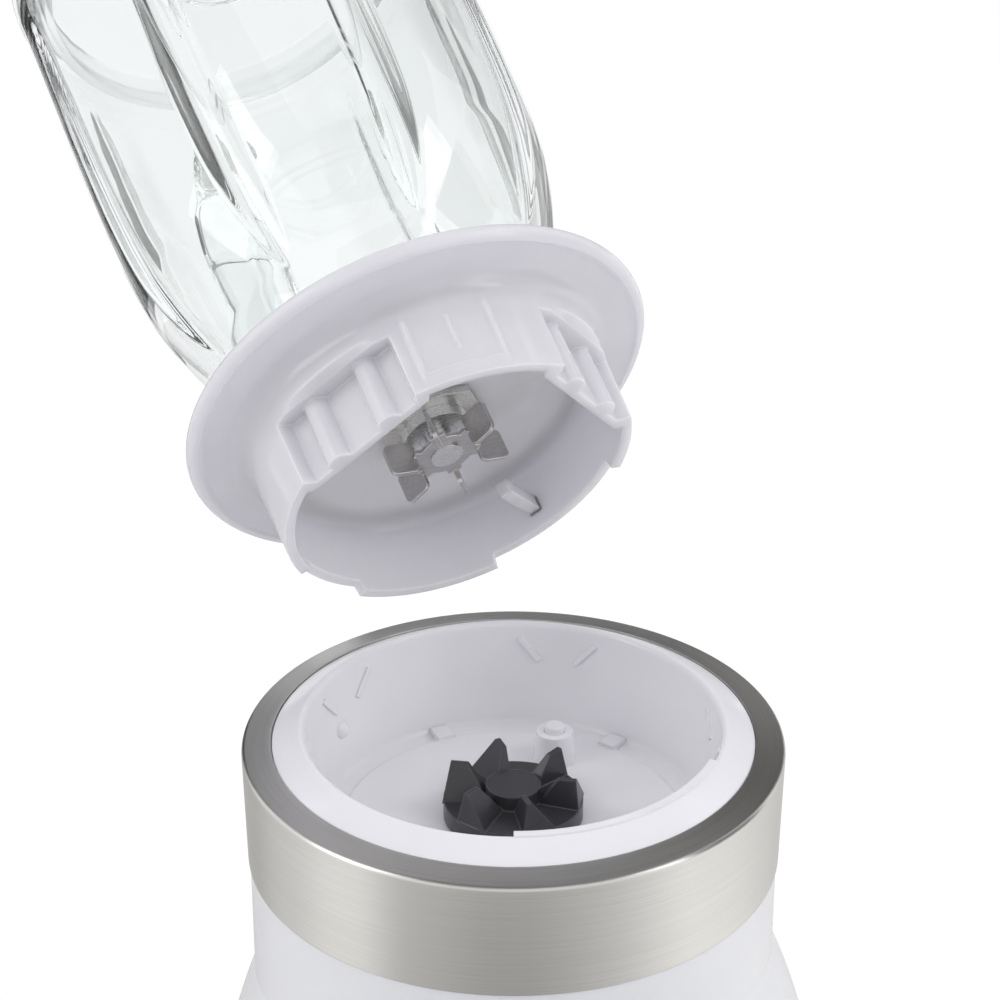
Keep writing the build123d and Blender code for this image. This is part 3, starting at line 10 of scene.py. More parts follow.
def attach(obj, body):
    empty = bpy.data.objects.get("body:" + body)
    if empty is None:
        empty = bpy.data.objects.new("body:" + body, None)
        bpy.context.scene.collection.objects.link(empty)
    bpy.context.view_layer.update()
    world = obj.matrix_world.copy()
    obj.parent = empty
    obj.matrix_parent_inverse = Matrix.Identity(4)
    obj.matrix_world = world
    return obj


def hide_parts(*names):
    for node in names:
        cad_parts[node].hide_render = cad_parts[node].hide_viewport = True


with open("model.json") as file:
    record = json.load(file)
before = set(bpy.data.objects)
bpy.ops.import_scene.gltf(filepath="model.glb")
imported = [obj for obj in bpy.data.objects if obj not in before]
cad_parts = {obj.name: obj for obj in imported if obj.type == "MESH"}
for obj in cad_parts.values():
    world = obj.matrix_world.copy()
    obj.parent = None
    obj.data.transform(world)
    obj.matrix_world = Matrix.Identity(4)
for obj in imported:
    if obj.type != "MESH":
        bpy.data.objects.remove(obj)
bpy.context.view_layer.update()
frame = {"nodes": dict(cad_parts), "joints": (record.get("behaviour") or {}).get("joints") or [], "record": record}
nodes = frame["nodes"]
joints = {joint["name"]: joint for joint in frame["joints"]}

# All sizes are in metres. Pieces of the jug are shaped upright, from the lower edge of the
# collar's skirt, and then moved to the place where the jug is held. All other pieces are shaped
# where they stand in the frame.
SEAT_Z = 0.1442
SEAT_HINGE = Vector(joints["jug_seat"]["pos_m"])
SEAT_SWING = radians(joints["jug_seat"]["range_deg"][1])
HELD = (
    Matrix.Translation(SEAT_HINGE)
    @ Matrix.Rotation(-SEAT_SWING, 4, "X")
    @ Matrix.Translation(-SEAT_HINGE)
    @ Matrix.Translation((0, 0, SEAT_Z))
)

# Vertices nearer than this count as one
MERGE = 1e-6

# Camera
CAMERA_PLACE = (-0.3227, -0.7048, 0.6288)
CAMERA_PITCH = 25.96
CAMERA_HEADING = -24.3
CAMERA_LENS = 106.27
SENSOR_WIDTH = 36.0
VIEW_END = 50.0

# Fluted jug
NECK_R = 0.050
NECK_BOTTOM = 0.0306
NECK_TOP = 0.048
MOUTH_R = 0.0725
MOUTH_Z = 0.236
WALL = 0.0045
SIDE_CURVES = (
    ((NECK_R, NECK_TOP), (NECK_R, 0.0548), (0.0531, 0.0612), (0.0565, 0.0670)),
    ((0.0565, 0.0670), (0.0617, 0.0764), (0.0652, 0.0866), (0.0678, 0.0970)),
    ((0.0678, 0.0970), (0.0707, 0.1085), (0.0719, 0.1310), (0.0722, 0.1500)),
    ((0.0722, 0.1500), (0.0726, 0.1740), (0.0725, 0.2073), (0.0725, 0.23375)),
)
FLUTES = 8
FLUTE_R = 0.009
FLUTE_DEPTHS = (
    (0.0640, 0.0),
    (0.0700, 0.0007),
    (0.0800, 0.0018),
    (0.0900, 0.00256),
    (0.1050, 0.00317),
    (0.1300, 0.00315),
    (0.1700, 0.0026),
    (0.1900, 0.0021),
    (0.2050, 0.0011),
    (0.2160, 0.0),
)
FLUTE_CROWDING = 0.62
SPOUT_ANGLE = radians(-90)
SPOUT_START = 0.194
SPOUT_REACH = 0.0098
SPOUT_HALF_ANGLE = radians(26)
JUG_STEPS = 320
CURVE_STEPS = 22
MOUTH_STEPS = 8

# Decimal places to which the height of a row of vertices is matched
ROW_PLACES = 6

# Handle
HANDLE_TOP = 0.206
HANDLE_BOTTOM = 0.104
HANDLE_REACH = 0.112
HANDLE_ROOT = 0.0695
HANDLE_FOOT = 0.066
HANDLE_RAKE = -0.014
HANDLE_BEND = 0.020
HANDLE_HALF_WIDTH = 0.0115
HANDLE_HALF_DEPTH = 0.0065
HANDLE_ROUND = 0.005
HANDLE_ROUND_STEPS = 6
HANDLE_BEND_STEPS = 16

# Brushed band
BAND_BOTTOM = 0.1342
BAND_BOTTOM_R = 0.08175
BAND_R = 0.0825
SHEET = 0.0008
SHOULDER_Z = 0.1696
SHOULDER_IN = 0.0012
SHOULDER_UP = 0.0014
SHOULDER_STEPS = 8
RIM_CREST_R = 0.0746
RIM_INNER_R = 0.07355
RIM_TOP_Z = 0.1724
BAND_SHARP = radians(24)
TURN_STEPS = 240

# Socket
RING_R = 0.0733
RING_Z = 0.172
LIP_R = 0.0632
LIP_Z = 0.1742
LIP_CURVE = ((0.0654, 0.1764), (0.0642, 0.1770), (0.0633, 0.1762), (LIP_R, LIP_Z))
LIP_STEPS = 8
WELL_Z = 0.142
WELL_R = 0.059
WELL_CORNER = 0.0025
WELL_CORNER_STEPS = 6
WELL_UNDER = 0.139
PLATEAU_R = 0.053
PLATEAU_H = 0.0008
SEAL_R = 0.009
FLANGE_Z = 0.163
FLANGE_T = 0.0024
FLANGE_R = 0.08065
SOCKET_WALL = 0.0026
SOCKET_SHARP = radians(26)
# Rings of the well's floor, close enough to open it under the post
WELL_ROWS = [0.001 * row for row in range(12, 52, 2)]
RIB_PAIRS = 5
RIB_ANGLE = radians(52.2)
RIB_SPREAD = radians(17)
RIB_SLANT = radians(42)
RIB_SIZE = (0.0014, 0.0018, 0.010)
RIB_DROP = 0.0065
BUMP_ANGLE = radians(128)
BUMP_DROP = 0.017
BUMP_R = 0.0034
BUMP_SINK = 0.0014
BUMP_STEPS = (32, 16)
LEDGE_START = radians(-114.5)
LEDGE_SPAN = radians(69)
LEDGE = (
    (0.0622, 0.1726),
    (0.0622, 0.1771),
    (0.0649, 0.1771),
    (0.0654, 0.1752),
    (0.0645, 0.1729),
)
LEDGE_STEPS = 46
PAD_COUNT = 6
PAD_PLACE = 0.0549
PAD_SIZE = (0.007, 0.006, 0.0019)
POST_ANGLE = radians(45)
POST_PLACE = 0.0375 * Vector((cos(POST_ANGLE), sin(POST_ANGLE), 0))
POST_BORE = 0.00325
POST_FOOT_R = 0.007
POST_TOP_R = 0.0058
POST_TOP = 0.153
POST_HOLE_R = 0.0052
POST_STEPS = 48
BOSS_PLACE = 0.042
BOSS_ANGLE = radians(20)
BOSS_COUNT = 4
BOSS_R = 0.0055
BOSS_BOTTOM = 0.130
BOSS_STEPS = 32
WEB_PLACE = (0.02652, 0.03102)
WEB_SIZE = (0.020, 0.0025)
WEB_BOTTOM = 0.127

# Drive dog
DOG_R = 0.0215
DOG_BOTTOM = 0.144
DOG_GAP_Z = 0.1499
DOG_HUB_R = 0.0085
DOG_HUB_Z = 0.1548
DOG_TIP_Z = 0.1594
DOG_TEETH = 6
DOG_TURN = radians(26.5)
DOG_ROOT = ((0.0074, -0.0026), (0.0211, -0.0049), (0.0211, 0.0064), (0.0074, 0.0026))
DOG_TIP = ((0.0144, -0.0032), (0.0198, -0.0032), (0.0198, -0.0016), (0.0144, -0.0016))
DOG_SINK = 0.0005
DOG_STEPS = 72
DOG_HUB_STEPS = 36
DOG_SHARP = radians(20)

# Collar
SKIRT_R = 0.0565
SKIRT_DRAFT = 0.001
SKIRT_WALL = 0.0032
SKIRT_H = 0.027
SAUCER_R = 0.0635
SAUCER_H = 0.0346
SAUCER_RIM_R = 0.0756
SAUCER_RIM_T = 0.0056
SAUCER_RIM_W = 0.0042
SAUCER_MID = 0.0366
SAUCER_BEAD = 0.0009
SAUCER_STEPS = 10
SAUCER_RIM_STEPS = 16
CUP_R = 0.0544
CUP_INNER_R = 0.0512
CUP_H = 0.0475
FLOOR_H = 0.0256
FLOOR_T = 0.003
FLOOR_CORNER = 0.005
FLOOR_CORNER_STEPS = 8
FLOOR_HOLE_R = 0.011
POCKET_ANGLES = (radians(-139.5), radians(-43))
POCKET_BACK = 0.048
POCKET_INSIDE = 0.0452
POCKET_H = 0.022
POCKET_TURN = radians(22.9)
POCKET_STEP = 0.0546
POCKET_BORDER = 0.002
POCKET_BORDER_TURN = radians(24.6)
POCKET_INSIDE_TURN = radians(27.5)
HUMP_R = 0.004
HUMP_PLACE = 0.010
HUMP_ROUNDS = 6
NOTCHES = ((radians(8), radians(65)), (radians(116), radians(146)))
NOTCH_H = 0.0038
PANEL_ANGLE = radians(-98)
PANEL_TURN = radians(13)
PANEL_LINE = 0.001
PANEL_BOTTOM = 0.0035
PANEL_PROUD = 0.0006
PANEL_RIB = (0.0095, 0.022)
PLAIN_ROW = 0.016
FINGER_ANGLE = radians(45)
FINGER_IN = 0.0343
FINGER_W = 0.0040
FINGER_BOTTOM = 0.0094
FINGER_H = 0.0050
COLLAR_SHARP = radians(28)
COLLAR_STEPS = 540
# Height between the two rows of vertices on either side of a step in the skirt
ROW_GAP = 1e-5

# Patterns in the finishes
TINT_STOPS = (0.3, 0.7)
CLOUD_SCALE = 30.0
GLOSS_SCALE = 65.0
GLOSS_SPREAD = (0.85, 1.2)
SKIN_SCALE = 420.0
SKIN_DEPTH = 2e-6
EDGE_SAMPLES = 6
# Facing of the rounded normal over which the mask for painted edge highlights rises
EDGE_FACING = (0.985, 0.80)
BRUSH_STRETCH = (18, 18, 4200)
BRUSH_DETAIL = 4.0
BRUSH_SPREAD = (0.9, 1.12)
BRUSH_RELIEF = 0.35
BRUSH_EDGE = 0.0006
SCRATCH_STRETCH = (1, 3, 9)
SCRATCH_SCALE = 260.0
SCRATCH_DETAIL = 5.0
SCRATCH_SPREAD = (0.8, 1.2)
SCRATCH_RELIEF = 0.4
SCRATCH_EDGE = 0.0004
GLASS_CLOUDS = 12.0
GLASS_RIPPLE = 45.0
GLASS_RIPPLE_DEPTH = 2.0e-4
GLASS_RIPPLE_RELIEF = 0.2

# Places of the colour sockets on a Mix node, whose names they share with others
MIX_SHARE = 0
MIX_FROM = 6
MIX_TO = 7
MIX_RESULT = 2

# Studio
OBJECT_HEART = Vector((0, 0, 0.2))
WORLD_COLOUR = (0.93, 0.94, 1.0, 1)
WORLD_STRENGTH = 0.62
GROUND_HALF_WIDTH = 6.0
GROUND_LIT = 0.85
GROUND_SEEN = 0.3
GROUND_GLOW = 0.77
CEILING_HALF_WIDTH = 1.6
CEILING_Z = 2.0
CEILING_SHADE = 0.16
DISH_PROFILE = ((0.115, 0.002), (0.33, 0.002), (0.36, 0.02), (0.36, 0.125))
DISH_STEPS = 96
DISH_GREEN = 0.99
DISH_BLUE = 0.97
# Shade of the reflector dish by azimuth in degrees
DISH_SHADES = (
    (-172, 0.94),
    (-156, 0.58),
    (-140, 0.51),
    (-124, 0.41),
    (-108, 0.41),
    (-92, 0.52),
    (-76, 0.68),
    (-60, 0.91),
    (-44, 1.12),
    (-20, 1.10),
    (4, 0.86),
    (20, 0.70),
    (36, 0.84),
    (70, 0.75),
    (107, 0.58),
    (123, 0.51),
    (140, 0.72),
    (156, 0.79),
    (172, 0.94),
)
LIGHT_BOUNCES = 36
# Place, size and power of each lamp
LAMPS = {
    "lamp_right": ((1.3, -0.95, 1.2), (1.0, 1.6), 11),
    "lamp_left": ((-1.6, 0.15, 1.1), (0.9, 1.6), 8),
    "lamp_top": ((0, 0.3, 2.2), (1.6, 1.6), 7),
}
# Azimuth, distance, width, bottom, top and shade of each card, and whether glass shows it
CARDS = {
    "card_back": (65.7, 1.5, 3.6, 0.30, 2.4, 0.10, False),
    "card_left": (103, 0.62, 0.20, 0.0, 0.55, 0.02, True),
    "card_back_right": (47, 0.66, 0.16, 0.0, 0.55, 0.30, True),
    "card_right": (-26, 0.70, 0.5, 0.0, 0.9, 0.04, True),
}


# Finishes


def new_finish(name, sockets):
    """Material with a principled shader, and its constant values set on the shader's sockets."""
    finish = bpy.data.materials.new(name)
    finish.use_nodes = True
    shader = finish.node_tree.nodes["Principled BSDF"]
    for socket, value in sockets.items():
        shader.inputs[socket].default_value = value
    return finish, finish.node_tree, shader


def object_place(tree, stretch=(1, 1, 1)):
    """Object coordinates, stretched along the axes."""
    place = tree.nodes.new("ShaderNodeTexCoord")
    mapping = tree.nodes.new("ShaderNodeMapping")
    mapping.inputs["Scale"].default_value = stretch
    tree.links.new(place.outputs["Object"], mapping.inputs["Vector"])
    return mapping.outputs["Vector"]


def grain(tree, place, scale, detail=3.0):
    """Noise read at a place."""
    noise = tree.nodes.new("ShaderNodeTexNoise")
    noise.inputs["Scale"].default_value = scale
    noise.inputs["Detail"].default_value = detail
    tree.links.new(place, noise.inputs["Vector"])
    return noise.outputs["Fac"]


def between(tree, value, low, high):
    """Value from 0 to 1 spread between two numbers."""
    spread = tree.nodes.new("ShaderNodeMapRange")
    spread.inputs["To Min"].default_value = low
    spread.inputs["To Max"].default_value = high
    tree.links.new(value, spread.inputs["Value"])
    return spread.outputs["Result"]


def tint(tree, shader, value, dark, light):
    """Base colour that wanders between two near colours."""
    ramp = tree.nodes.new("ShaderNodeValToRGB")
    for stop, colour, position in zip(ramp.color_ramp.elements, (dark, light), TINT_STOPS):
        stop.color = (*colour, 1)
        stop.position = position
    tree.links.new(value, ramp.inputs["Fac"])
    tree.links.new(ramp.outputs["Color"], shader.inputs["Base Color"])


def rounded_edges_and_highlight_mask(tree, radius):
    """Normal that rounds the sharp edges off, and a mask that is 1 on them, where a highlight is painted."""
    rounded = tree.nodes.new("ShaderNodeBevel")
    rounded.samples = EDGE_SAMPLES
    rounded.inputs["Radius"].default_value = radius
    facing = tree.nodes.new("ShaderNodeNewGeometry")
    agree = tree.nodes.new("ShaderNodeVectorMath")
    agree.operation = "DOT_PRODUCT"
    tree.links.new(rounded.outputs["Normal"], agree.inputs[0])
    tree.links.new(facing.outputs["Normal"], agree.inputs[1])
    highlight_mask = tree.nodes.new("ShaderNodeMapRange")
    highlight_mask.inputs["From Min"].default_value = EDGE_FACING[0]
    highlight_mask.inputs["From Max"].default_value = EDGE_FACING[1]
    tree.links.new(agree.outputs["Value"], highlight_mask.inputs["Value"])
    return rounded.outputs["Normal"], highlight_mask.outputs["Result"]


def relief(tree, shader, value, depth, strength=1.0, normal=None):
    """Bump of a depth in metres, laid over another normal."""
    bump = tree.nodes.new("ShaderNodeBump")
    bump.inputs["Distance"].default_value = depth
    bump.inputs["Strength"].default_value = strength
    tree.links.new(value, bump.inputs["Height"])
    if normal:
        tree.links.new(normal, bump.inputs["Normal"])
    tree.links.new(bump.outputs["Normal"], shader.inputs["Normal"])


def paint_highlight(tree, shader, highlight_mask, light):
    """Painted highlight: goes over from the base colour to a lighter one where the mask is 1."""
    mix = tree.nodes.new("ShaderNodeMix")
    mix.data_type = "RGBA"
    mix.inputs[MIX_TO].default_value = (*light, 1)
    tree.links.new(highlight_mask, mix.inputs[MIX_SHARE])
    tree.links.new(shader.inputs["Base Color"].links[0].from_socket, mix.inputs[MIX_FROM])
    tree.links.new(mix.outputs[MIX_RESULT], shader.inputs["Base Color"])


def vary_gloss(tree, shader, pattern, roughness, spread):
    """Roughness that follows a pattern, between two shares of its value."""
    gloss = between(tree, pattern, roughness * spread[0], roughness * spread[1])
    tree.links.new(gloss, shader.inputs["Roughness"])


def moulded(
    name,
    dark,
    light,
    roughness,
    skin=SKIN_SCALE,
    depth=SKIN_DEPTH,
    edge=0.0005,
    edge_highlight=None,
    sockets=None,
):
    """Moulded plastic or rubber: faint clouds of colour, gloss that varies, a fine skin and, where given, a
    painted highlight along the sharp edges.
    """
    finish, tree, shader = new_finish(name, sockets or {})
    place = object_place(tree)
    tint(tree, shader, grain(tree, place, CLOUD_SCALE), dark, light)
    vary_gloss(tree, shader, grain(tree, place, GLOSS_SCALE), roughness, GLOSS_SPREAD)
    normal, highlight_mask = rounded_edges_and_highlight_mask(tree, edge)
    if edge_highlight:
        paint_highlight(tree, shader, highlight_mask, edge_highlight)
    relief(tree, shader, grain(tree, place, skin), depth, 1.0, normal)
    return finish


def brushed_round(name, dark, light, roughness, anisotropy):
    """Steel brushed around an upright axis: fine level lines that spread the light across them."""
    finish, tree, shader = new_finish(
        name, {"Metallic": 1.0, "Anisotropic": anisotropy, "Anisotropic Rotation": 0.25}
    )
    lines = grain(tree, object_place(tree, BRUSH_STRETCH), 1.0, BRUSH_DETAIL)
    tint(tree, shader, lines, dark, light)
    vary_gloss(tree, shader, lines, roughness, BRUSH_SPREAD)
    normal, _ = rounded_edges_and_highlight_mask(tree, BRUSH_EDGE)
    relief(tree, shader, lines, SKIN_DEPTH, BRUSH_RELIEF, normal)
    turn = tree.nodes.new("ShaderNodeTangent")
    turn.direction_type = "RADIAL"
    turn.axis = "Z"
    tree.links.new(turn.outputs["Tangent"], shader.inputs["Tangent"])
    return finish


def machined(name, dark, light, roughness, scale=SCRATCH_SCALE, edge_highlight=None):
    """Turned or pressed metal with fine scratches and, where given, a painted highlight along the sharp edges."""
    finish, tree, shader = new_finish(name, {"Metallic": 1.0})
    scratches = grain(tree, object_place(tree, SCRATCH_STRETCH), scale, SCRATCH_DETAIL)
    tint(tree, shader, scratches, dark, light)
    vary_gloss(tree, shader, scratches, roughness, SCRATCH_SPREAD)
    normal, highlight_mask = rounded_edges_and_highlight_mask(tree, SCRATCH_EDGE)
    if edge_highlight:
        paint_highlight(tree, shader, highlight_mask, edge_highlight)
    relief(tree, shader, scratches, SKIN_DEPTH, SCRATCH_RELIEF, normal)
    return finish


def clear_glass():
    """Pressed glass with a faint green tint and a slow ripple in its skin."""
    clear = {"Transmission Weight": 1.0, "IOR": 1.5, "Roughness": 0.0}
    finish, tree, shader = new_finish("clear_glass", clear)
    place = object_place(tree)
    clouds = grain(tree, place, GLASS_CLOUDS)
    tint(tree, shader, clouds, (0.912, 0.936, 0.930), (0.932, 0.948, 0.943))
    ripple = grain(tree, place, GLASS_RIPPLE, 1.0)
    relief(tree, shader, ripple, GLASS_RIPPLE_DEPTH, GLASS_RIPPLE_RELIEF)
    return finish


def milky_plastic():
    """Milky polypropylene: light goes into it and comes out again, and its sharp edges are painted lighter as a
    highlight.
    """
    return moulded(
        "milky_plastic",
        (0.715, 0.705, 0.725),
        (0.755, 0.745, 0.765),
        0.10,
        edge=0.0014,
        edge_highlight=(0.97, 0.965, 0.975),
        sockets={
            "Subsurface Weight": 1.0,
            "Subsurface Radius": (0.009, 0.0088, 0.0095),
            "Subsurface Scale": 1.0,
            "IOR": 1.49,
        },
    )


white_plastic = moulded("white_plastic", (0.83, 0.83, 0.84), (0.86, 0.86, 0.87), 0.24)
# The socket's sharp edges get a painted highlight in a lighter colour
socket_plastic = moulded(
    "socket_plastic",
    (0.885, 0.875, 0.90),
    (0.91, 0.90, 0.92),
    0.14,
    edge=0.0007,
    edge_highlight=(0.97, 0.97, 0.97),
)
lid_plastic = moulded(
    "lid_plastic",
    (0.97, 0.975, 0.975),
    (0.985, 0.99, 0.99),
    0.3,
    sockets={"Transmission Weight": 1.0, "IOR": 1.15},
)
grey_plastic = moulded("grey_plastic", (0.33, 0.33, 0.34), (0.38, 0.38, 0.39), 0.5, 900.0, 2e-5)
black_plastic = moulded(
    "black_plastic", (0.012, 0.012, 0.013), (0.022, 0.022, 0.023), 0.36, 800.0, 4e-6
)
black_rubber = moulded("black_rubber", (0.012, 0.012, 0.012), (0.02, 0.02, 0.02), 0.7, 700.0, 1e-5)
silicone = moulded("silicone", (0.72, 0.72, 0.71), (0.78, 0.78, 0.77), 0.5)
# The drive dog's sharp edges get a painted highlight in a lighter grey
dog_plastic = moulded(
    "dog_plastic",
    (0.034, 0.035, 0.039),
    (0.046, 0.047, 0.052),
    0.3,
    800.0,
    4e-6,
    edge=0.0007,
    edge_highlight=(0.10, 0.10, 0.105),
)
carbon = moulded("carbon", (0.015, 0.015, 0.016), (0.03, 0.03, 0.03), 0.6, 1200.0, 1e-5)
clear_plastic = moulded(
    "clear_plastic",
    (0.93, 0.95, 0.95),
    (0.96, 0.97, 0.97),
    0.06,
    sockets={"Transmission Weight": 1.0, "IOR": 1.49},
)
band_steel = brushed_round("band_steel", (0.655, 0.645, 0.625), (0.735, 0.725, 0.705), 0.32, 0.8)
dial_alloy = machined("dial_alloy", (0.60, 0.60, 0.59), (0.70, 0.70, 0.69), 0.3, 500.0)
stainless = machined("stainless", (0.62, 0.62, 0.61), (0.72, 0.72, 0.71), 0.28)
# The vane coupling's sharp edges get a painted highlight in near white
pressed_steel = machined(
    "pressed_steel", (0.46, 0.45, 0.445), (0.58, 0.57, 0.565), 0.34, edge_highlight=(0.95, 0.95, 0.94)
)
bearing_steel = machined("bearing_steel", (0.55, 0.55, 0.56), (0.65, 0.65, 0.66), 0.25)
zinc_steel = machined("zinc_steel", (0.62, 0.63, 0.65), (0.72, 0.73, 0.75), 0.3)
lamination = machined("lamination", (0.16, 0.16, 0.17), (0.24, 0.24, 0.25), 0.5)
copper = machined("copper", (0.60, 0.26, 0.12), (0.72, 0.36, 0.18), 0.3)
bracket_alloy = machined("bracket_alloy", (0.52, 0.52, 0.53), (0.62, 0.62, 0.63), 0.45)
glass = clear_glass()
milky = milky_plastic()

# Finish of each slot in the record, where bronze stands for the bushes, shown as bright as steel
FINISHES = {
    "white_plastic": white_plastic,
    "grey_plastic": grey_plastic,
    "milky_plastic": milky,
    "band_steel": band_steel,
    "stainless": stainless,
    "bearing_steel": bearing_steel,
    "zinc_steel": zinc_steel,
    "black_plastic": black_plastic,
    "carbon": carbon,
    "black_rubber": black_rubber,
    "silicone": silicone,
    "lamination": lamination,
    "copper": copper,
    "bracket_alloy": bracket_alloy,
    "bronze": bearing_steel,
    "clear_glass": glass,
    "clear_plastic": clear_plastic,
}

# Nodes that look unlike the rest of their slot
OWN_FINISHES = {
    "dial_plate": dial_alloy,
    "vane_coupling": pressed_steel,
    "jug_lid": lid_plastic,
    "lid_gasket": lid_plastic,
}


def give(obj, finish):
    """Puts one finish on every slot of an object."""
    if not obj.material_slots:
        obj.data.materials.append(finish)
    for material_slot in obj.material_slots:
        material_slot.material = finish


for subpart in frame["record"]["subparts"]:
    give(nodes[subpart["node"]], FINISHES[subpart["material_slot"]])
for node, own_finish in OWN_FINISHES.items():
    give(nodes[node], own_finish)


# Pieces


def object_from(name, shape):
    """Object in the scene from a finished bmesh."""
    mesh = bpy.data.meshes.new(name)
    shape.to_mesh(mesh)
    shape.free()
    made = bpy.data.objects.new(name, mesh)
    bpy.context.scene.collection.objects.link(made)
    return made


def new_piece(name, shape, finish, body, sharp=None):
    """Smooth piece from a finished bmesh, with edges kept past a sharp angle, riding on a body."""
    piece = object_from(name, shape)
    for face in piece.data.polygons:
        face.use_smooth = True
    if sharp:
        piece.data.set_sharp_from_angle(angle=sharp)
    give(piece, finish)
    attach(piece, body)
    return piece


def turned(shape, points, steps):
    """Spins a profile of radius and height into a full turn about the upright axis."""
    chain = [shape.verts.new((radius, 0, height)) for radius, height in points]
    for start, end in zip(chain, chain[1:]):
        shape.edges.new((start, end))
    bmesh.ops.spin(
        shape,
        geom=shape.verts[:] + shape.edges[:],
        cent=(0, 0, 0),
        axis=(0, 0, 1),
        angle=2 * pi,
        steps=steps,
        use_merge=True,
    )
    bmesh.ops.remove_doubles(shape, verts=shape.verts[:], dist=MERGE)
    bmesh.ops.recalc_face_normals(shape, faces=shape.faces[:])


def ease(value, start, end):
    """Smooth step from 0 at start to 1 at end."""
    share = min(max((value - start) / (end - start), 0.0), 1.0)
    return share * share * (3 - 2 * share)


def jug_profile(inset):
    """Side of the jug from its neck to its mouth, set in from the outside."""
    points = []
    for curve in SIDE_CURVES:
        knots = [Vector((radius - inset, height, 0)) for radius, height in curve]
        points.extend((point.x, point.y) for point in interpolate_bezier(*knots, CURVE_STEPS)[:-1])
    points.append((SIDE_CURVES[-1][-1][0] - inset, SIDE_CURVES[-1][-1][1]))
    return points


def flute_depth(height):
    """Depth of a flute in the wall at a height."""
    for (start, shallow), (end, deep) in zip(FLUTE_DEPTHS, FLUTE_DEPTHS[1:]):
        if start <= height <= end:
            return shallow + (deep - shallow) * (height - start) / (end - start)
    return 0.0


def flute_and_pour(shape, outer):
    """Crowds the columns of the turned wall at the flutes, sinks these and draws the spout out."""
    for vert in shape.verts:
        radius = vert.co.xy.length
        angle = atan2(vert.co.y, vert.co.x)
        angle -= FLUTE_CROWDING * sin(FLUTES * angle) / FLUTES
        from_flute = (angle + pi / FLUTES) % (2 * pi / FLUTES) - pi / FLUTES
        across = abs(radius * sin(from_flute))
        sunk = 0.0
        if vert in outer and across < FLUTE_R:
            sunk = max(0.0, flute_depth(vert.co.z) - FLUTE_R + sqrt(FLUTE_R**2 - across**2))
        from_spout = abs(turn_from(angle, SPOUT_ANGLE))
        pulled = cos(min(from_spout / SPOUT_HALF_ANGLE, 1.0) * pi / 2) ** 2
        pulled *= SPOUT_REACH * ease(vert.co.z, SPOUT_START, MOUTH_Z)
        radius += pulled - sunk
        vert.co.x = radius * cos(angle)
        vert.co.y = radius * sin(angle)


def make_jug():
    """Fluted glass jug: outer wall, rounded mouth, inner wall and open neck."""
    outer = jug_profile(0)
    inner = jug_profile(WALL)
    mouth = [
        (MOUTH_R - WALL / 2 + WALL / 2 * cos(turn), MOUTH_Z - WALL / 2 + WALL / 2 * sin(turn))
        for turn in (pi / MOUTH_STEPS * step for step in range(1, MOUTH_STEPS))
    ]
    points = [(NECK_R, NECK_BOTTOM)] + outer + mouth + inner[::-1]
    points += [(NECK_R - WALL, NECK_BOTTOM), (NECK_R, NECK_BOTTOM)]
    shape = bmesh.new()
    turned(shape, points, JUG_STEPS)
    rows = {round(height, ROW_PLACES): radius for radius, height in outer}
    outside = set()
    for vert in shape.verts:
        row = rows.get(round(vert.co.z, ROW_PLACES))
        if row and row - vert.co.xy.length < WALL / 2:
            outside.add(vert)
    flute_and_pour(shape, outside)
    bmesh.ops.transform(shape, matrix=HELD, verts=shape.verts[:])
    jug = new_piece("fluted_jug", shape, glass, "jug")
    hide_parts("glass_jug")


def faces_of(parts):
    """The faces among the parts that an operator returns."""
    return [part for part in parts if isinstance(part, bmesh.types.BMFace)]


def draw_out(shape, end, run):
    """Lengthens a bar from its end face, and returns the new end."""
    drawn = bmesh.ops.extrude_face_region(shape, geom=end)["geom"]
    corners = [part for part in drawn if isinstance(part, bmesh.types.BMVert)]
    bmesh.ops.translate(shape, vec=run, verts=corners)
    return faces_of(drawn)


def bend(shape, end, centre, angle):
    """Bends a bar about a line along X, and returns the new end."""
    drawn = bmesh.ops.spin(
        shape, geom=end, cent=centre, axis=(1, 0, 0), angle=angle, steps=HANDLE_BEND_STEPS
    )
    return faces_of(drawn["geom_last"])


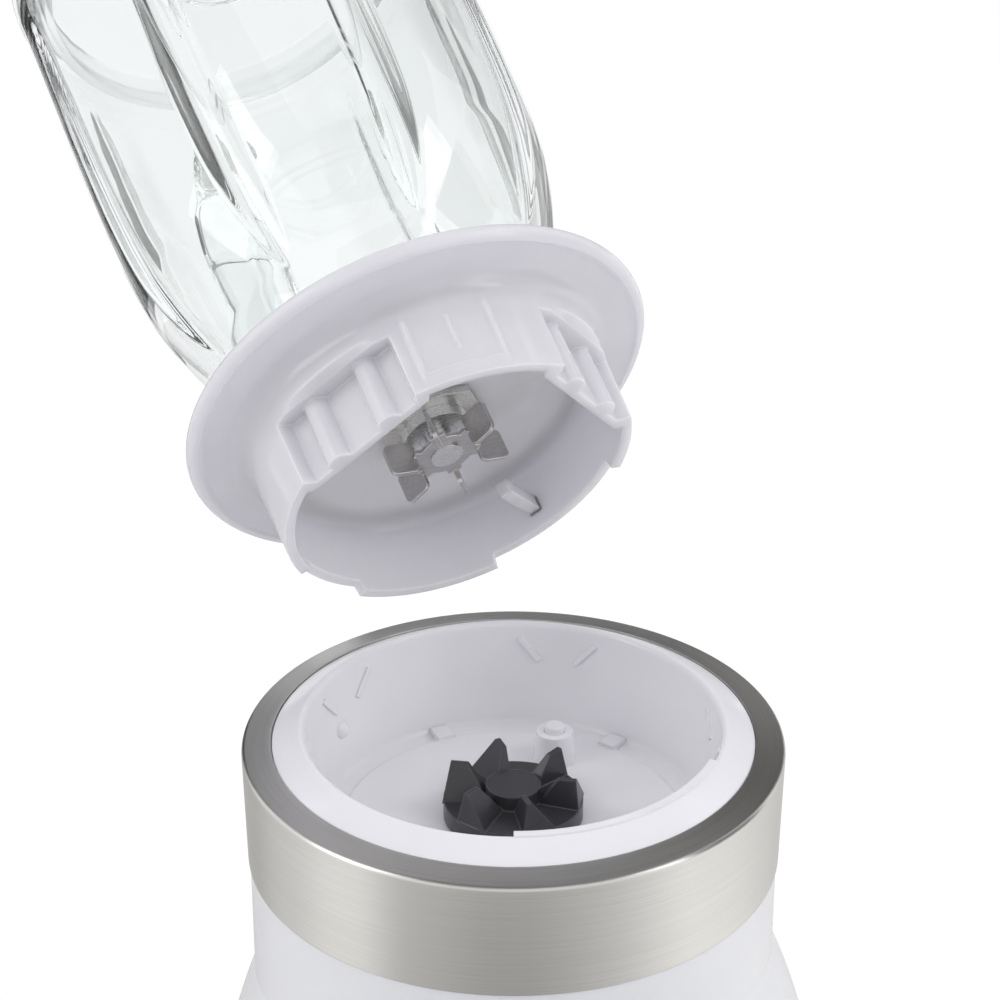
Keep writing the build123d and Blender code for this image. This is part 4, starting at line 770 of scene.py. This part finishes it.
def make_handle():
    """Solid glass handle: a rounded bar drawn out, bent twice and drawn back to the wall."""
    lower_run = Vector((0, HANDLE_REACH - HANDLE_FOOT, HANDLE_RAKE))
    lower_turn = lower_run.angle(Vector((0, 0, 1)))
    lower_cut = HANDLE_BEND * tan(lower_turn / 2)
    outwards = lower_run.normalized()
    inwards = Vector((0, -outwards.z, outwards.y))
    shape = bmesh.new()
    bmesh.ops.create_grid(shape, x_segments=1, y_segments=1, size=1.0)
    bmesh.ops.scale(shape, vec=(HANDLE_HALF_WIDTH, HANDLE_HALF_DEPTH, 1), verts=shape.verts[:])
    bmesh.ops.bevel(
        shape,
        geom=shape.verts[:],
        offset=HANDLE_ROUND,
        offset_type="OFFSET",
        segments=HANDLE_ROUND_STEPS,
        profile=0.5,
        affect="VERTICES",
        material=-1,
    )
    bmesh.ops.rotate(shape, matrix=Matrix.Rotation(-lower_turn, 3, "X"), verts=shape.verts[:])
    bmesh.ops.translate(shape, vec=(0, HANDLE_FOOT, HANDLE_BOTTOM), verts=shape.verts[:])
    end = draw_out(shape, shape.faces[:], outwards * (lower_run.length - lower_cut))
    lower_bend = Vector((0, HANDLE_REACH, HANDLE_BOTTOM + HANDLE_RAKE)) - outwards * lower_cut
    end = bend(shape, end, lower_bend + inwards * HANDLE_BEND, lower_turn)
    rise = HANDLE_TOP - HANDLE_BOTTOM - HANDLE_RAKE - lower_cut - HANDLE_BEND
    end = draw_out(shape, end, (0, 0, rise))
    upper_bend = (0, HANDLE_REACH - HANDLE_BEND, HANDLE_TOP - HANDLE_BEND)
    end = bend(shape, end, upper_bend, pi / 2)
    draw_out(shape, end, (0, HANDLE_BEND - HANDLE_REACH + HANDLE_ROOT, 0))
    bmesh.ops.recalc_face_normals(shape, faces=shape.faces[:])
    bmesh.ops.transform(shape, matrix=HELD, verts=shape.verts[:])
    handle = new_piece("jug_handle", shape, glass, "jug")
    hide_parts("glass_jug")


def arc(centre, radii, start, end, steps):
    """Points of an upright ellipse's arc, with both ends."""
    turns = [radians(start + (end - start) * step / steps) for step in range(steps + 1)]
    return [(centre[0] + radii[0] * cos(turn), centre[1] + radii[1] * sin(turn)) for turn in turns]


def make_band():
    """Brushed sheet band with a rim that turns in to the ring."""
    shoulder = (BAND_R - SHOULDER_IN, SHOULDER_Z)
    outside = [(BAND_BOTTOM_R, BAND_BOTTOM)]
    outside += arc(shoulder, (SHOULDER_IN, SHOULDER_UP), 0, 90, SHOULDER_STEPS)
    outside += [(RIM_CREST_R, RIM_TOP_Z), (RIM_INNER_R, RIM_TOP_Z)]
    inside = [
        (RIM_INNER_R, RIM_TOP_Z - SHEET),
        (RIM_CREST_R, RIM_TOP_Z - SHEET),
        (BAND_R - SHOULDER_IN - SHEET / 2, SHOULDER_Z + SHOULDER_UP - SHEET),
        (BAND_R - SHEET, SHOULDER_Z - SHEET / 2),
        (BAND_BOTTOM_R - SHEET, BAND_BOTTOM),
    ]
    shape = bmesh.new()
    turned(shape, outside + inside + outside[:1], TURN_STEPS)
    band = new_piece("brushed_band", shape, band_steel, "base", BAND_SHARP)
    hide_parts("steel_band")


def cylinder(shape, radius, bottom, top, steps, place=Matrix()):
    """Upright closed cylinder about the middle, or moved from there by a matrix."""
    bmesh.ops.create_cone(
        shape,
        cap_ends=True,
        segments=steps,
        radius1=radius,
        radius2=radius,
        depth=top - bottom,
        matrix=place @ Matrix.Translation((0, 0, (top + bottom) / 2)),
    )


def block(shape, lower, upper):
    """Closed block: an outline drawn out, and its end moved to another outline."""
    foot = shape.faces.new([shape.verts.new(corner) for corner in lower])
    end = draw_out(shape, [foot], (0, 0, 0))[0]
    for vert, corner in zip(end.verts, upper):
        vert.co = corner


def make_dog():
    """Drive dog: a thick disc, a hub and six teeth with one steep flank each."""
    shape = bmesh.new()
    cylinder(shape, DOG_R, DOG_BOTTOM, DOG_GAP_Z, DOG_STEPS)
    cylinder(shape, DOG_HUB_R, DOG_BOTTOM, DOG_HUB_Z, DOG_HUB_STEPS)
    for tooth in range(DOG_TEETH):
        turn = Matrix.Rotation(DOG_TURN + tooth * 2 * pi / DOG_TEETH, 4, "Z")
        root = [turn @ Vector((out, across, DOG_GAP_Z - DOG_SINK)) for out, across in DOG_ROOT]
        tip = [turn @ Vector((out, across, DOG_TIP_Z)) for out, across in DOG_TIP]
        block(shape, root, tip)
    bmesh.ops.recalc_face_normals(shape, faces=shape.faces[:])
    dog = new_piece("cast_dog", shape, dog_plastic, "rotor", DOG_SHARP)
    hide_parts("drive_dog")


def collar_profile():
    """Section of the collar, all the way round: skirt, saucer, cup and floor."""
    rim_in = SAUCER_RIM_R - SAUCER_RIM_T / 2
    under = SAUCER_MID - SAUCER_RIM_T / 2
    skirt_top = SKIRT_R + SKIRT_DRAFT
    skirt_in = SKIRT_R - SKIRT_WALL
    corner = (skirt_in - FLOOR_CORNER, FLOOR_H - FLOOR_CORNER)
    line_top = PANEL_BOTTOM + PANEL_LINE
    border_top = POCKET_H + POCKET_BORDER
    heights = [0.0, PANEL_BOTTOM, PANEL_BOTTOM + ROW_GAP, line_top, line_top + ROW_GAP]
    heights += [PANEL_RIB[0], PANEL_RIB[0] + ROW_GAP, PLAIN_ROW, POCKET_H, POCKET_H + ROW_GAP]
    heights += [border_top, border_top + ROW_GAP, SKIRT_H]
    points = [(SKIRT_R + SKIRT_DRAFT * height / SKIRT_H, height) for height in heights]
    sweep = (skirt_top - SAUCER_R, SAUCER_H - SKIRT_H)
    points += arc((SAUCER_R, SKIRT_H), sweep, 0, 90, SAUCER_STEPS)[1:]
    points += [(SAUCER_RIM_R - SAUCER_RIM_W, under + SAUCER_BEAD)]
    rim_round = (SAUCER_RIM_T / 2, SAUCER_RIM_T / 2)
    points += arc((rim_in, SAUCER_MID), rim_round, -90, 90, SAUCER_RIM_STEPS)
    points += [(CUP_R, SAUCER_MID + SAUCER_RIM_T / 2), (CUP_R, CUP_H), (CUP_INNER_R, CUP_H)]
    points += [(CUP_INNER_R, FLOOR_H + FLOOR_T), (FLOOR_HOLE_R, FLOOR_H + FLOOR_T)]
    points += [(FLOOR_HOLE_R, FLOOR_H), (FLOOR_HOLE_R + FLOOR_CORNER, FLOOR_H)]
    points += arc(corner, (FLOOR_CORNER, FLOOR_CORNER), 90, 0, FLOOR_CORNER_STEPS)
    points += [(skirt_in, line_top), (skirt_in, 0.0)]
    return points + points[:1]


def turn_from(angle, place):
    """Turn between an angle and a place, at most half a turn either way."""
    return (angle - place + pi) % (2 * pi) - pi


def pocket_reach(height, turn):
    """Distance from the axis to the back of a pocket, its humps or border, or none beside it."""
    if height <= POCKET_H and turn < POCKET_TURN:
        reach = POCKET_BACK
        for _ in range(HUMP_ROUNDS):
            beside = abs(reach * tan(turn) - HUMP_PLACE)
            reach = POCKET_BACK + sqrt(max(HUMP_R**2 - beside**2, 0.0))
        return reach / cos(turn)
    if height <= POCKET_H + POCKET_BORDER and turn < POCKET_BORDER_TURN:
        return POCKET_STEP / cos(turn)
    return None


def on_panel(height, turn):
    """Whether a place on the skirt lies on the raised lines of the panel."""
    half_line = PANEL_LINE / 2 / SKIRT_R
    if PANEL_BOTTOM < height and abs(abs(turn) - PANEL_TURN) < half_line:
        return True
    if PANEL_BOTTOM < height <= PANEL_BOTTOM + PANEL_LINE and abs(turn) < PANEL_TURN:
        return True
    return PANEL_RIB[0] < height <= PANEL_RIB[1] and abs(turn) < half_line


def make_collar():
    """Screw collar: a turned section with pockets, a panel and notches, and a finger inside."""
    wall_middle = SKIRT_R - SKIRT_WALL / 2
    shape = bmesh.new()
    turned(shape, collar_profile(), COLLAR_STEPS)
    for vert in shape.verts:
        radius, height = vert.co.xy.length, vert.co.z
        angle = atan2(vert.co.y, vert.co.x)
        outside = height < SKIRT_H - MERGE and radius > wall_middle
        inside = height < FLOOR_H + MERGE and radius < wall_middle
        if outside and on_panel(height, turn_from(angle, PANEL_ANGLE)):
            radius += PANEL_PROUD
        for place in POCKET_ANGLES:
            turn = abs(turn_from(angle, place))
            sunk = pocket_reach(height, turn) if outside else None
            if sunk:
                radius = min(radius, sunk)
            if inside and turn < POCKET_INSIDE_TURN:
                radius = min(radius, POCKET_INSIDE / cos(turn))
        if height < NOTCH_H and any(start < angle < end for start, end in NOTCHES):
            height = NOTCH_H
        vert.co = (radius * cos(angle), radius * sin(angle), height)
    bmesh.ops.dissolve_degenerate(shape, dist=MERGE, edges=shape.edges[:])
    spot = Matrix.Rotation(FINGER_ANGLE, 4, "Z")
    ends = ((FINGER_IN, -1), (wall_middle, -1), (wall_middle, 1), (FINGER_IN, 1))
    finger = []
    for height in (FINGER_BOTTOM, FINGER_BOTTOM + FINGER_H):
        finger.append([spot @ Vector((out, side * FINGER_W / 2, height)) for out, side in ends])
    block(shape, *finger)
    bmesh.ops.recalc_face_normals(shape, faces=shape.faces[:])
    bmesh.ops.transform(shape, matrix=HELD, verts=shape.verts[:])
    collar = new_piece("screw_collar", shape, milky, "jug", COLLAR_SHARP)
    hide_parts("collar")


def box(shape, size, place):
    """Closed box of a size, moved by a matrix."""
    bmesh.ops.create_cube(shape, size=1.0, matrix=place @ Matrix.Diagonal((*size, 1)))


def swept_round(shape, outline, start, span, steps):
    """Closed solid: an outline of radius and height, turned part of the way round."""
    spot = Matrix.Rotation(start, 4, "Z")
    corners = [shape.verts.new(spot @ Vector((radius, 0, height))) for radius, height in outline]
    end = shape.faces.new(corners)
    bmesh.ops.spin(shape, geom=[end], cent=(0, 0, 0), axis=(0, 0, 1), angle=span, steps=steps)


def make_socket():
    """Ring and well of the base: a turned section with a flange, open where the post stands."""
    ring_in = RING_R - SOCKET_WALL
    lip = [Vector((radius, height, 0)) for radius, height in LIP_CURVE]
    corner = (WELL_R - WELL_CORNER, WELL_Z + WELL_CORNER)
    points = [(RING_R, RING_Z)]
    points += [(point.x, point.y) for point in interpolate_bezier(*lip, LIP_STEPS)]
    points += arc(corner, (WELL_CORNER, WELL_CORNER), 0, -90, WELL_CORNER_STEPS)
    points += [(PLATEAU_R, WELL_Z), (PLATEAU_R - PLATEAU_H, WELL_Z + PLATEAU_H)]
    points += [(row, WELL_Z + PLATEAU_H) for row in WELL_ROWS[::-1]]
    points += [(SEAL_R, WELL_Z + PLATEAU_H), (SEAL_R, WELL_UNDER)]
    points += [(row, WELL_UNDER) for row in WELL_ROWS]
    points += [(WELL_R - WELL_CORNER / 2, WELL_UNDER)]
    points += [(WELL_R + SOCKET_WALL, WELL_Z + WELL_CORNER / 2)]
    points += [(LIP_R + SOCKET_WALL, LIP_Z - SOCKET_WALL), (ring_in, RING_Z - SOCKET_WALL)]
    points += [(ring_in, FLANGE_Z), (FLANGE_R, FLANGE_Z), (FLANGE_R, FLANGE_Z + FLANGE_T)]
    points += [(RING_R, FLANGE_Z + FLANGE_T), (RING_R, RING_Z)]
    shape = bmesh.new()
    turned(shape, points, TURN_STEPS)
    under_post = []
    for face in shape.faces:
        if (face.calc_center_median().xy - POST_PLACE.xy).length < POST_HOLE_R:
            under_post.append(face)
    bmesh.ops.delete(shape, geom=under_post, context="FACES")
    ring = new_piece("socket_ring", shape, socket_plastic, "base", SOCKET_SHARP)
    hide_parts("jug_socket")


def make_post():
    """Interlock post, bored for its pin down through the floor."""
    shape = bmesh.new()
    points = [(POST_BORE, WELL_UNDER), (POST_BORE, POST_TOP), (POST_TOP_R, POST_TOP)]
    points += [(POST_FOOT_R, WELL_Z), (POST_FOOT_R, WELL_UNDER), (POST_BORE, WELL_UNDER)]
    turned(shape, points, POST_STEPS)
    bmesh.ops.translate(shape, vec=POST_PLACE, verts=shape.verts[:])
    post = new_piece("socket_post", shape, socket_plastic, "base", SOCKET_SHARP)
    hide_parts("jug_socket")


def make_guides():
    """Forms on the socket: slanted ribs, bump, ledge and pads in it, bosses and web below it."""
    slope = (LIP_R - WELL_R) / (LIP_Z - WELL_Z - WELL_CORNER)
    shape = bmesh.new()
    for pair in range(RIB_PAIRS):
        for side in (-1, 1):
            angle = RIB_ANGLE + pair * 2 * pi / RIB_PAIRS + side * RIB_SPREAD / 2
            spot = Matrix.Rotation(angle, 4, "Z")
            spot @= Matrix.Translation((LIP_R - RIB_DROP * slope, 0, LIP_Z - RIB_DROP))
            spot @= Matrix.Rotation(atan2(slope, 1), 4, "Y")
            spot @= Matrix.Rotation(-side * RIB_SLANT, 4, "X")
            box(shape, RIB_SIZE, spot)
    spot = Matrix.Rotation(BUMP_ANGLE, 4, "Z")
    spot @= Matrix.Translation((LIP_R - BUMP_DROP * slope + BUMP_SINK, 0, LIP_Z - BUMP_DROP))
    around, upwards = BUMP_STEPS
    bmesh.ops.create_uvsphere(
        shape, u_segments=around, v_segments=upwards, radius=BUMP_R, matrix=spot
    )
    swept_round(shape, LEDGE, LEDGE_START, LEDGE_SPAN, LEDGE_STEPS)
    for pad in range(PAD_COUNT):
        spot = Matrix.Rotation(pi / 2 + pad * 2 * pi / PAD_COUNT, 4, "Z")
        box(shape, PAD_SIZE, spot @ Matrix.Translation((PAD_PLACE, 0, WELL_Z + PAD_SIZE[2] / 2)))
    for boss in range(BOSS_COUNT):
        spot = Matrix.Rotation(BOSS_ANGLE + boss * 2 * pi / BOSS_COUNT, 4, "Z")
        spot @= Matrix.Translation((BOSS_PLACE, 0, 0))
        cylinder(shape, BOSS_R, BOSS_BOTTOM, WELL_UNDER, BOSS_STEPS, spot)
    web = Matrix.Translation((*WEB_PLACE, (WELL_UNDER + WEB_BOTTOM) / 2))
    box(shape, (*WEB_SIZE, WELL_UNDER - WEB_BOTTOM), web)
    bmesh.ops.recalc_face_normals(shape, faces=shape.faces[:])
    guides = new_piece(
        "socket_guides", shape, socket_plastic, "base", SOCKET_SHARP
    )
    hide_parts("jug_socket")


make_jug()
make_handle()
make_socket()
make_post()
make_guides()
make_band()
make_dog()
make_collar()


# Studio: world, floor, lamps, reflectors and camera


def white_seen(tree, lit, surface):
    """White for camera, mirror and glass rays, and the lit shader for all others."""
    path = tree.nodes.new("ShaderNodeLightPath")
    seen = path.outputs["Is Camera Ray"]
    for ray in ("Is Glossy Ray", "Is Transmission Ray"):
        either = tree.nodes.new("ShaderNodeMath")
        either.operation = "MAXIMUM"
        tree.links.new(seen, either.inputs[0])
        tree.links.new(path.outputs[ray], either.inputs[1])
        seen = either.outputs[0]
    mix = tree.nodes.new("ShaderNodeMixShader")
    tree.links.new(seen, mix.inputs["Fac"])
    tree.links.new(lit, mix.inputs[1])
    tree.links.new(surface, mix.inputs[2])
    return mix.outputs["Shader"]


def make_world():
    """White surroundings that light the object softly."""
    world = bpy.data.worlds.new("studio")
    world.use_nodes = True
    bpy.context.scene.world = world
    tree = world.node_tree
    lit = tree.nodes["Background"]
    lit.inputs["Color"].default_value = WORLD_COLOUR
    lit.inputs["Strength"].default_value = WORLD_STRENGTH
    white = tree.nodes.new("ShaderNodeBackground")
    white.inputs["Color"].default_value = (1, 1, 1, 1)
    white.inputs["Strength"].default_value = 1.0
    seen = white_seen(tree, lit.outputs["Background"], white.outputs["Background"])
    tree.links.new(seen, tree.nodes["World Output"].inputs["Surface"])


def make_floor():
    """Pale floor that reads as white and keeps the object's shadow."""
    shape = bmesh.new()
    bmesh.ops.create_grid(shape, x_segments=1, y_segments=1, size=GROUND_HALF_WIDTH)
    floor = object_from("floor", shape)
    finish = bpy.data.materials.new("floor")
    finish.use_nodes = True
    tree = finish.node_tree
    tree.nodes.remove(tree.nodes["Principled BSDF"])
    matt = tree.nodes.new("ShaderNodeBsdfDiffuse")
    matt.inputs["Color"].default_value = (GROUND_LIT, GROUND_LIT, GROUND_LIT, 1)
    glow = tree.nodes.new("ShaderNodeEmission")
    glow.inputs["Strength"].default_value = GROUND_GLOW
    both = tree.nodes.new("ShaderNodeAddShader")
    faint = tree.nodes.new("ShaderNodeBsdfDiffuse")
    faint.inputs["Color"].default_value = (GROUND_SEEN, GROUND_SEEN, GROUND_SEEN, 1)
    tree.links.new(faint.outputs["BSDF"], both.inputs[0])
    tree.links.new(glow.outputs["Emission"], both.inputs[1])
    seen = white_seen(tree, matt.outputs["BSDF"], both.outputs["Shader"])
    tree.links.new(seen, tree.nodes["Material Output"].inputs["Surface"])
    floor.data.materials.append(finish)


def make_lamp(name, place, size, power):
    """Soft area lamp that points at the object."""
    lamp = bpy.data.lights.new(name, "AREA")
    lamp.shape = "RECTANGLE"
    lamp.size, lamp.size_y = size
    lamp.energy = power
    holder = bpy.data.objects.new(name, lamp)
    bpy.context.scene.collection.objects.link(holder)
    holder.location = place
    holder.rotation_euler = (OBJECT_HEART - Vector(place)).to_track_quat("-Z", "Y").to_euler()
    holder.visible_camera = False


def stage_piece(name, shape, finish, through_glass=False):
    """Piece of the studio that only mirrors see, and glass where this is said."""
    piece = object_from(name, shape)
    piece.data.materials.append(finish)
    piece.visible_camera = False
    piece.visible_shadow = False
    piece.visible_diffuse = False
    piece.visible_transmission = through_glass


def even_glow(name):
    """Material that glows evenly, with its nodes and the one that has its colour."""
    finish = bpy.data.materials.new(name)
    finish.use_nodes = True
    tree = finish.node_tree
    glow = tree.nodes.new("ShaderNodeEmission")
    tree.links.new(glow.outputs["Emission"], tree.nodes["Material Output"].inputs["Surface"])
    return finish, tree, glow


def plain_tone(name, shade):
    """Surface of one even grey."""
    finish, _, glow = even_glow(name)
    glow.inputs["Color"].default_value = (shade, shade, shade, 1)
    return finish


def make_card(name, azimuth, distance, width, bottom, top, shade, through_glass):
    """Upright card that faces the object."""
    shape = bmesh.new()
    bmesh.ops.create_grid(shape, x_segments=1, y_segments=1, size=0.5)
    bmesh.ops.scale(shape, vec=(width, top - bottom, 1), verts=shape.verts[:])
    spot = Matrix.Rotation(radians(azimuth), 4, "Z")
    spot @= Matrix.Translation((distance, 0, (bottom + top) / 2))
    spot @= Matrix.Rotation(pi / 2, 4, "Z") @ Matrix.Rotation(pi / 2, 4, "X")
    bmesh.ops.transform(shape, matrix=spot, verts=shape.verts[:])
    stage_piece(name, shape, plain_tone(name, shade), through_glass)


def make_ceiling():
    """Dark ceiling that the steel rim mirrors."""
    shape = bmesh.new()
    bmesh.ops.create_grid(shape, x_segments=1, y_segments=1, size=CEILING_HALF_WIDTH)
    bmesh.ops.translate(shape, vec=(0, 0, CEILING_Z), verts=shape.verts[:])
    stage_piece("ceiling", shape, plain_tone("ceiling", CEILING_SHADE))


def make_dish():
    """Reflector around the foot of the base that the band mirrors, its shade set by azimuth."""
    shape = bmesh.new()
    turned(shape, DISH_PROFILE, DISH_STEPS)
    finish, tree, glow = even_glow("reflector_dish")
    place = tree.nodes.new("ShaderNodeTexCoord")
    split = tree.nodes.new("ShaderNodeSeparateXYZ")
    tree.links.new(place.outputs["Object"], split.inputs["Vector"])
    angle = tree.nodes.new("ShaderNodeMath")
    angle.operation = "ARCTAN2"
    tree.links.new(split.outputs["Y"], angle.inputs[0])
    tree.links.new(split.outputs["X"], angle.inputs[1])
    share = tree.nodes.new("ShaderNodeMapRange")
    share.inputs["From Min"].default_value = -pi
    share.inputs["From Max"].default_value = pi
    tree.links.new(angle.outputs["Value"], share.inputs["Value"])
    ramp = tree.nodes.new("ShaderNodeValToRGB")
    stops = ramp.color_ramp.elements
    for azimuth, shade in DISH_SHADES:
        stop = stops.new((azimuth + 180) / 360)
        stop.color = (shade, shade * DISH_GREEN, shade * DISH_BLUE, 1)
    stops.remove(stops[0])
    stops.remove(stops[-1])
    tree.links.new(share.outputs["Result"], ramp.inputs["Fac"])
    tree.links.new(ramp.outputs["Color"], glow.inputs["Color"])
    stage_piece("reflector_dish", shape, finish)


def make_camera():
    """Camera at the photograph's angle."""
    lens = bpy.data.cameras.new("camera")
    lens.lens = CAMERA_LENS
    lens.sensor_width = SENSOR_WIDTH
    lens.clip_end = VIEW_END
    camera = bpy.data.objects.new("camera", lens)
    bpy.context.scene.collection.objects.link(camera)
    camera.location = CAMERA_PLACE
    camera.rotation_euler = (radians(90 - CAMERA_PITCH), 0, radians(CAMERA_HEADING))
    bpy.context.scene.camera = camera


make_world()
make_floor()
make_dish()
for name, lamp in LAMPS.items():
    make_lamp(name, *lamp)
for name, card in CARDS.items():
    make_card(name, *card)
make_ceiling()
make_camera()

# Light runs along inside the thick glass wall over many reflections
studio = bpy.context.scene
studio.cycles.max_bounces = LIGHT_BOUNCES
studio.cycles.transmission_bounces = LIGHT_BOUNCES
studio.cycles.glossy_bounces = LIGHT_BOUNCES
studio.view_settings.view_transform = "Standard"
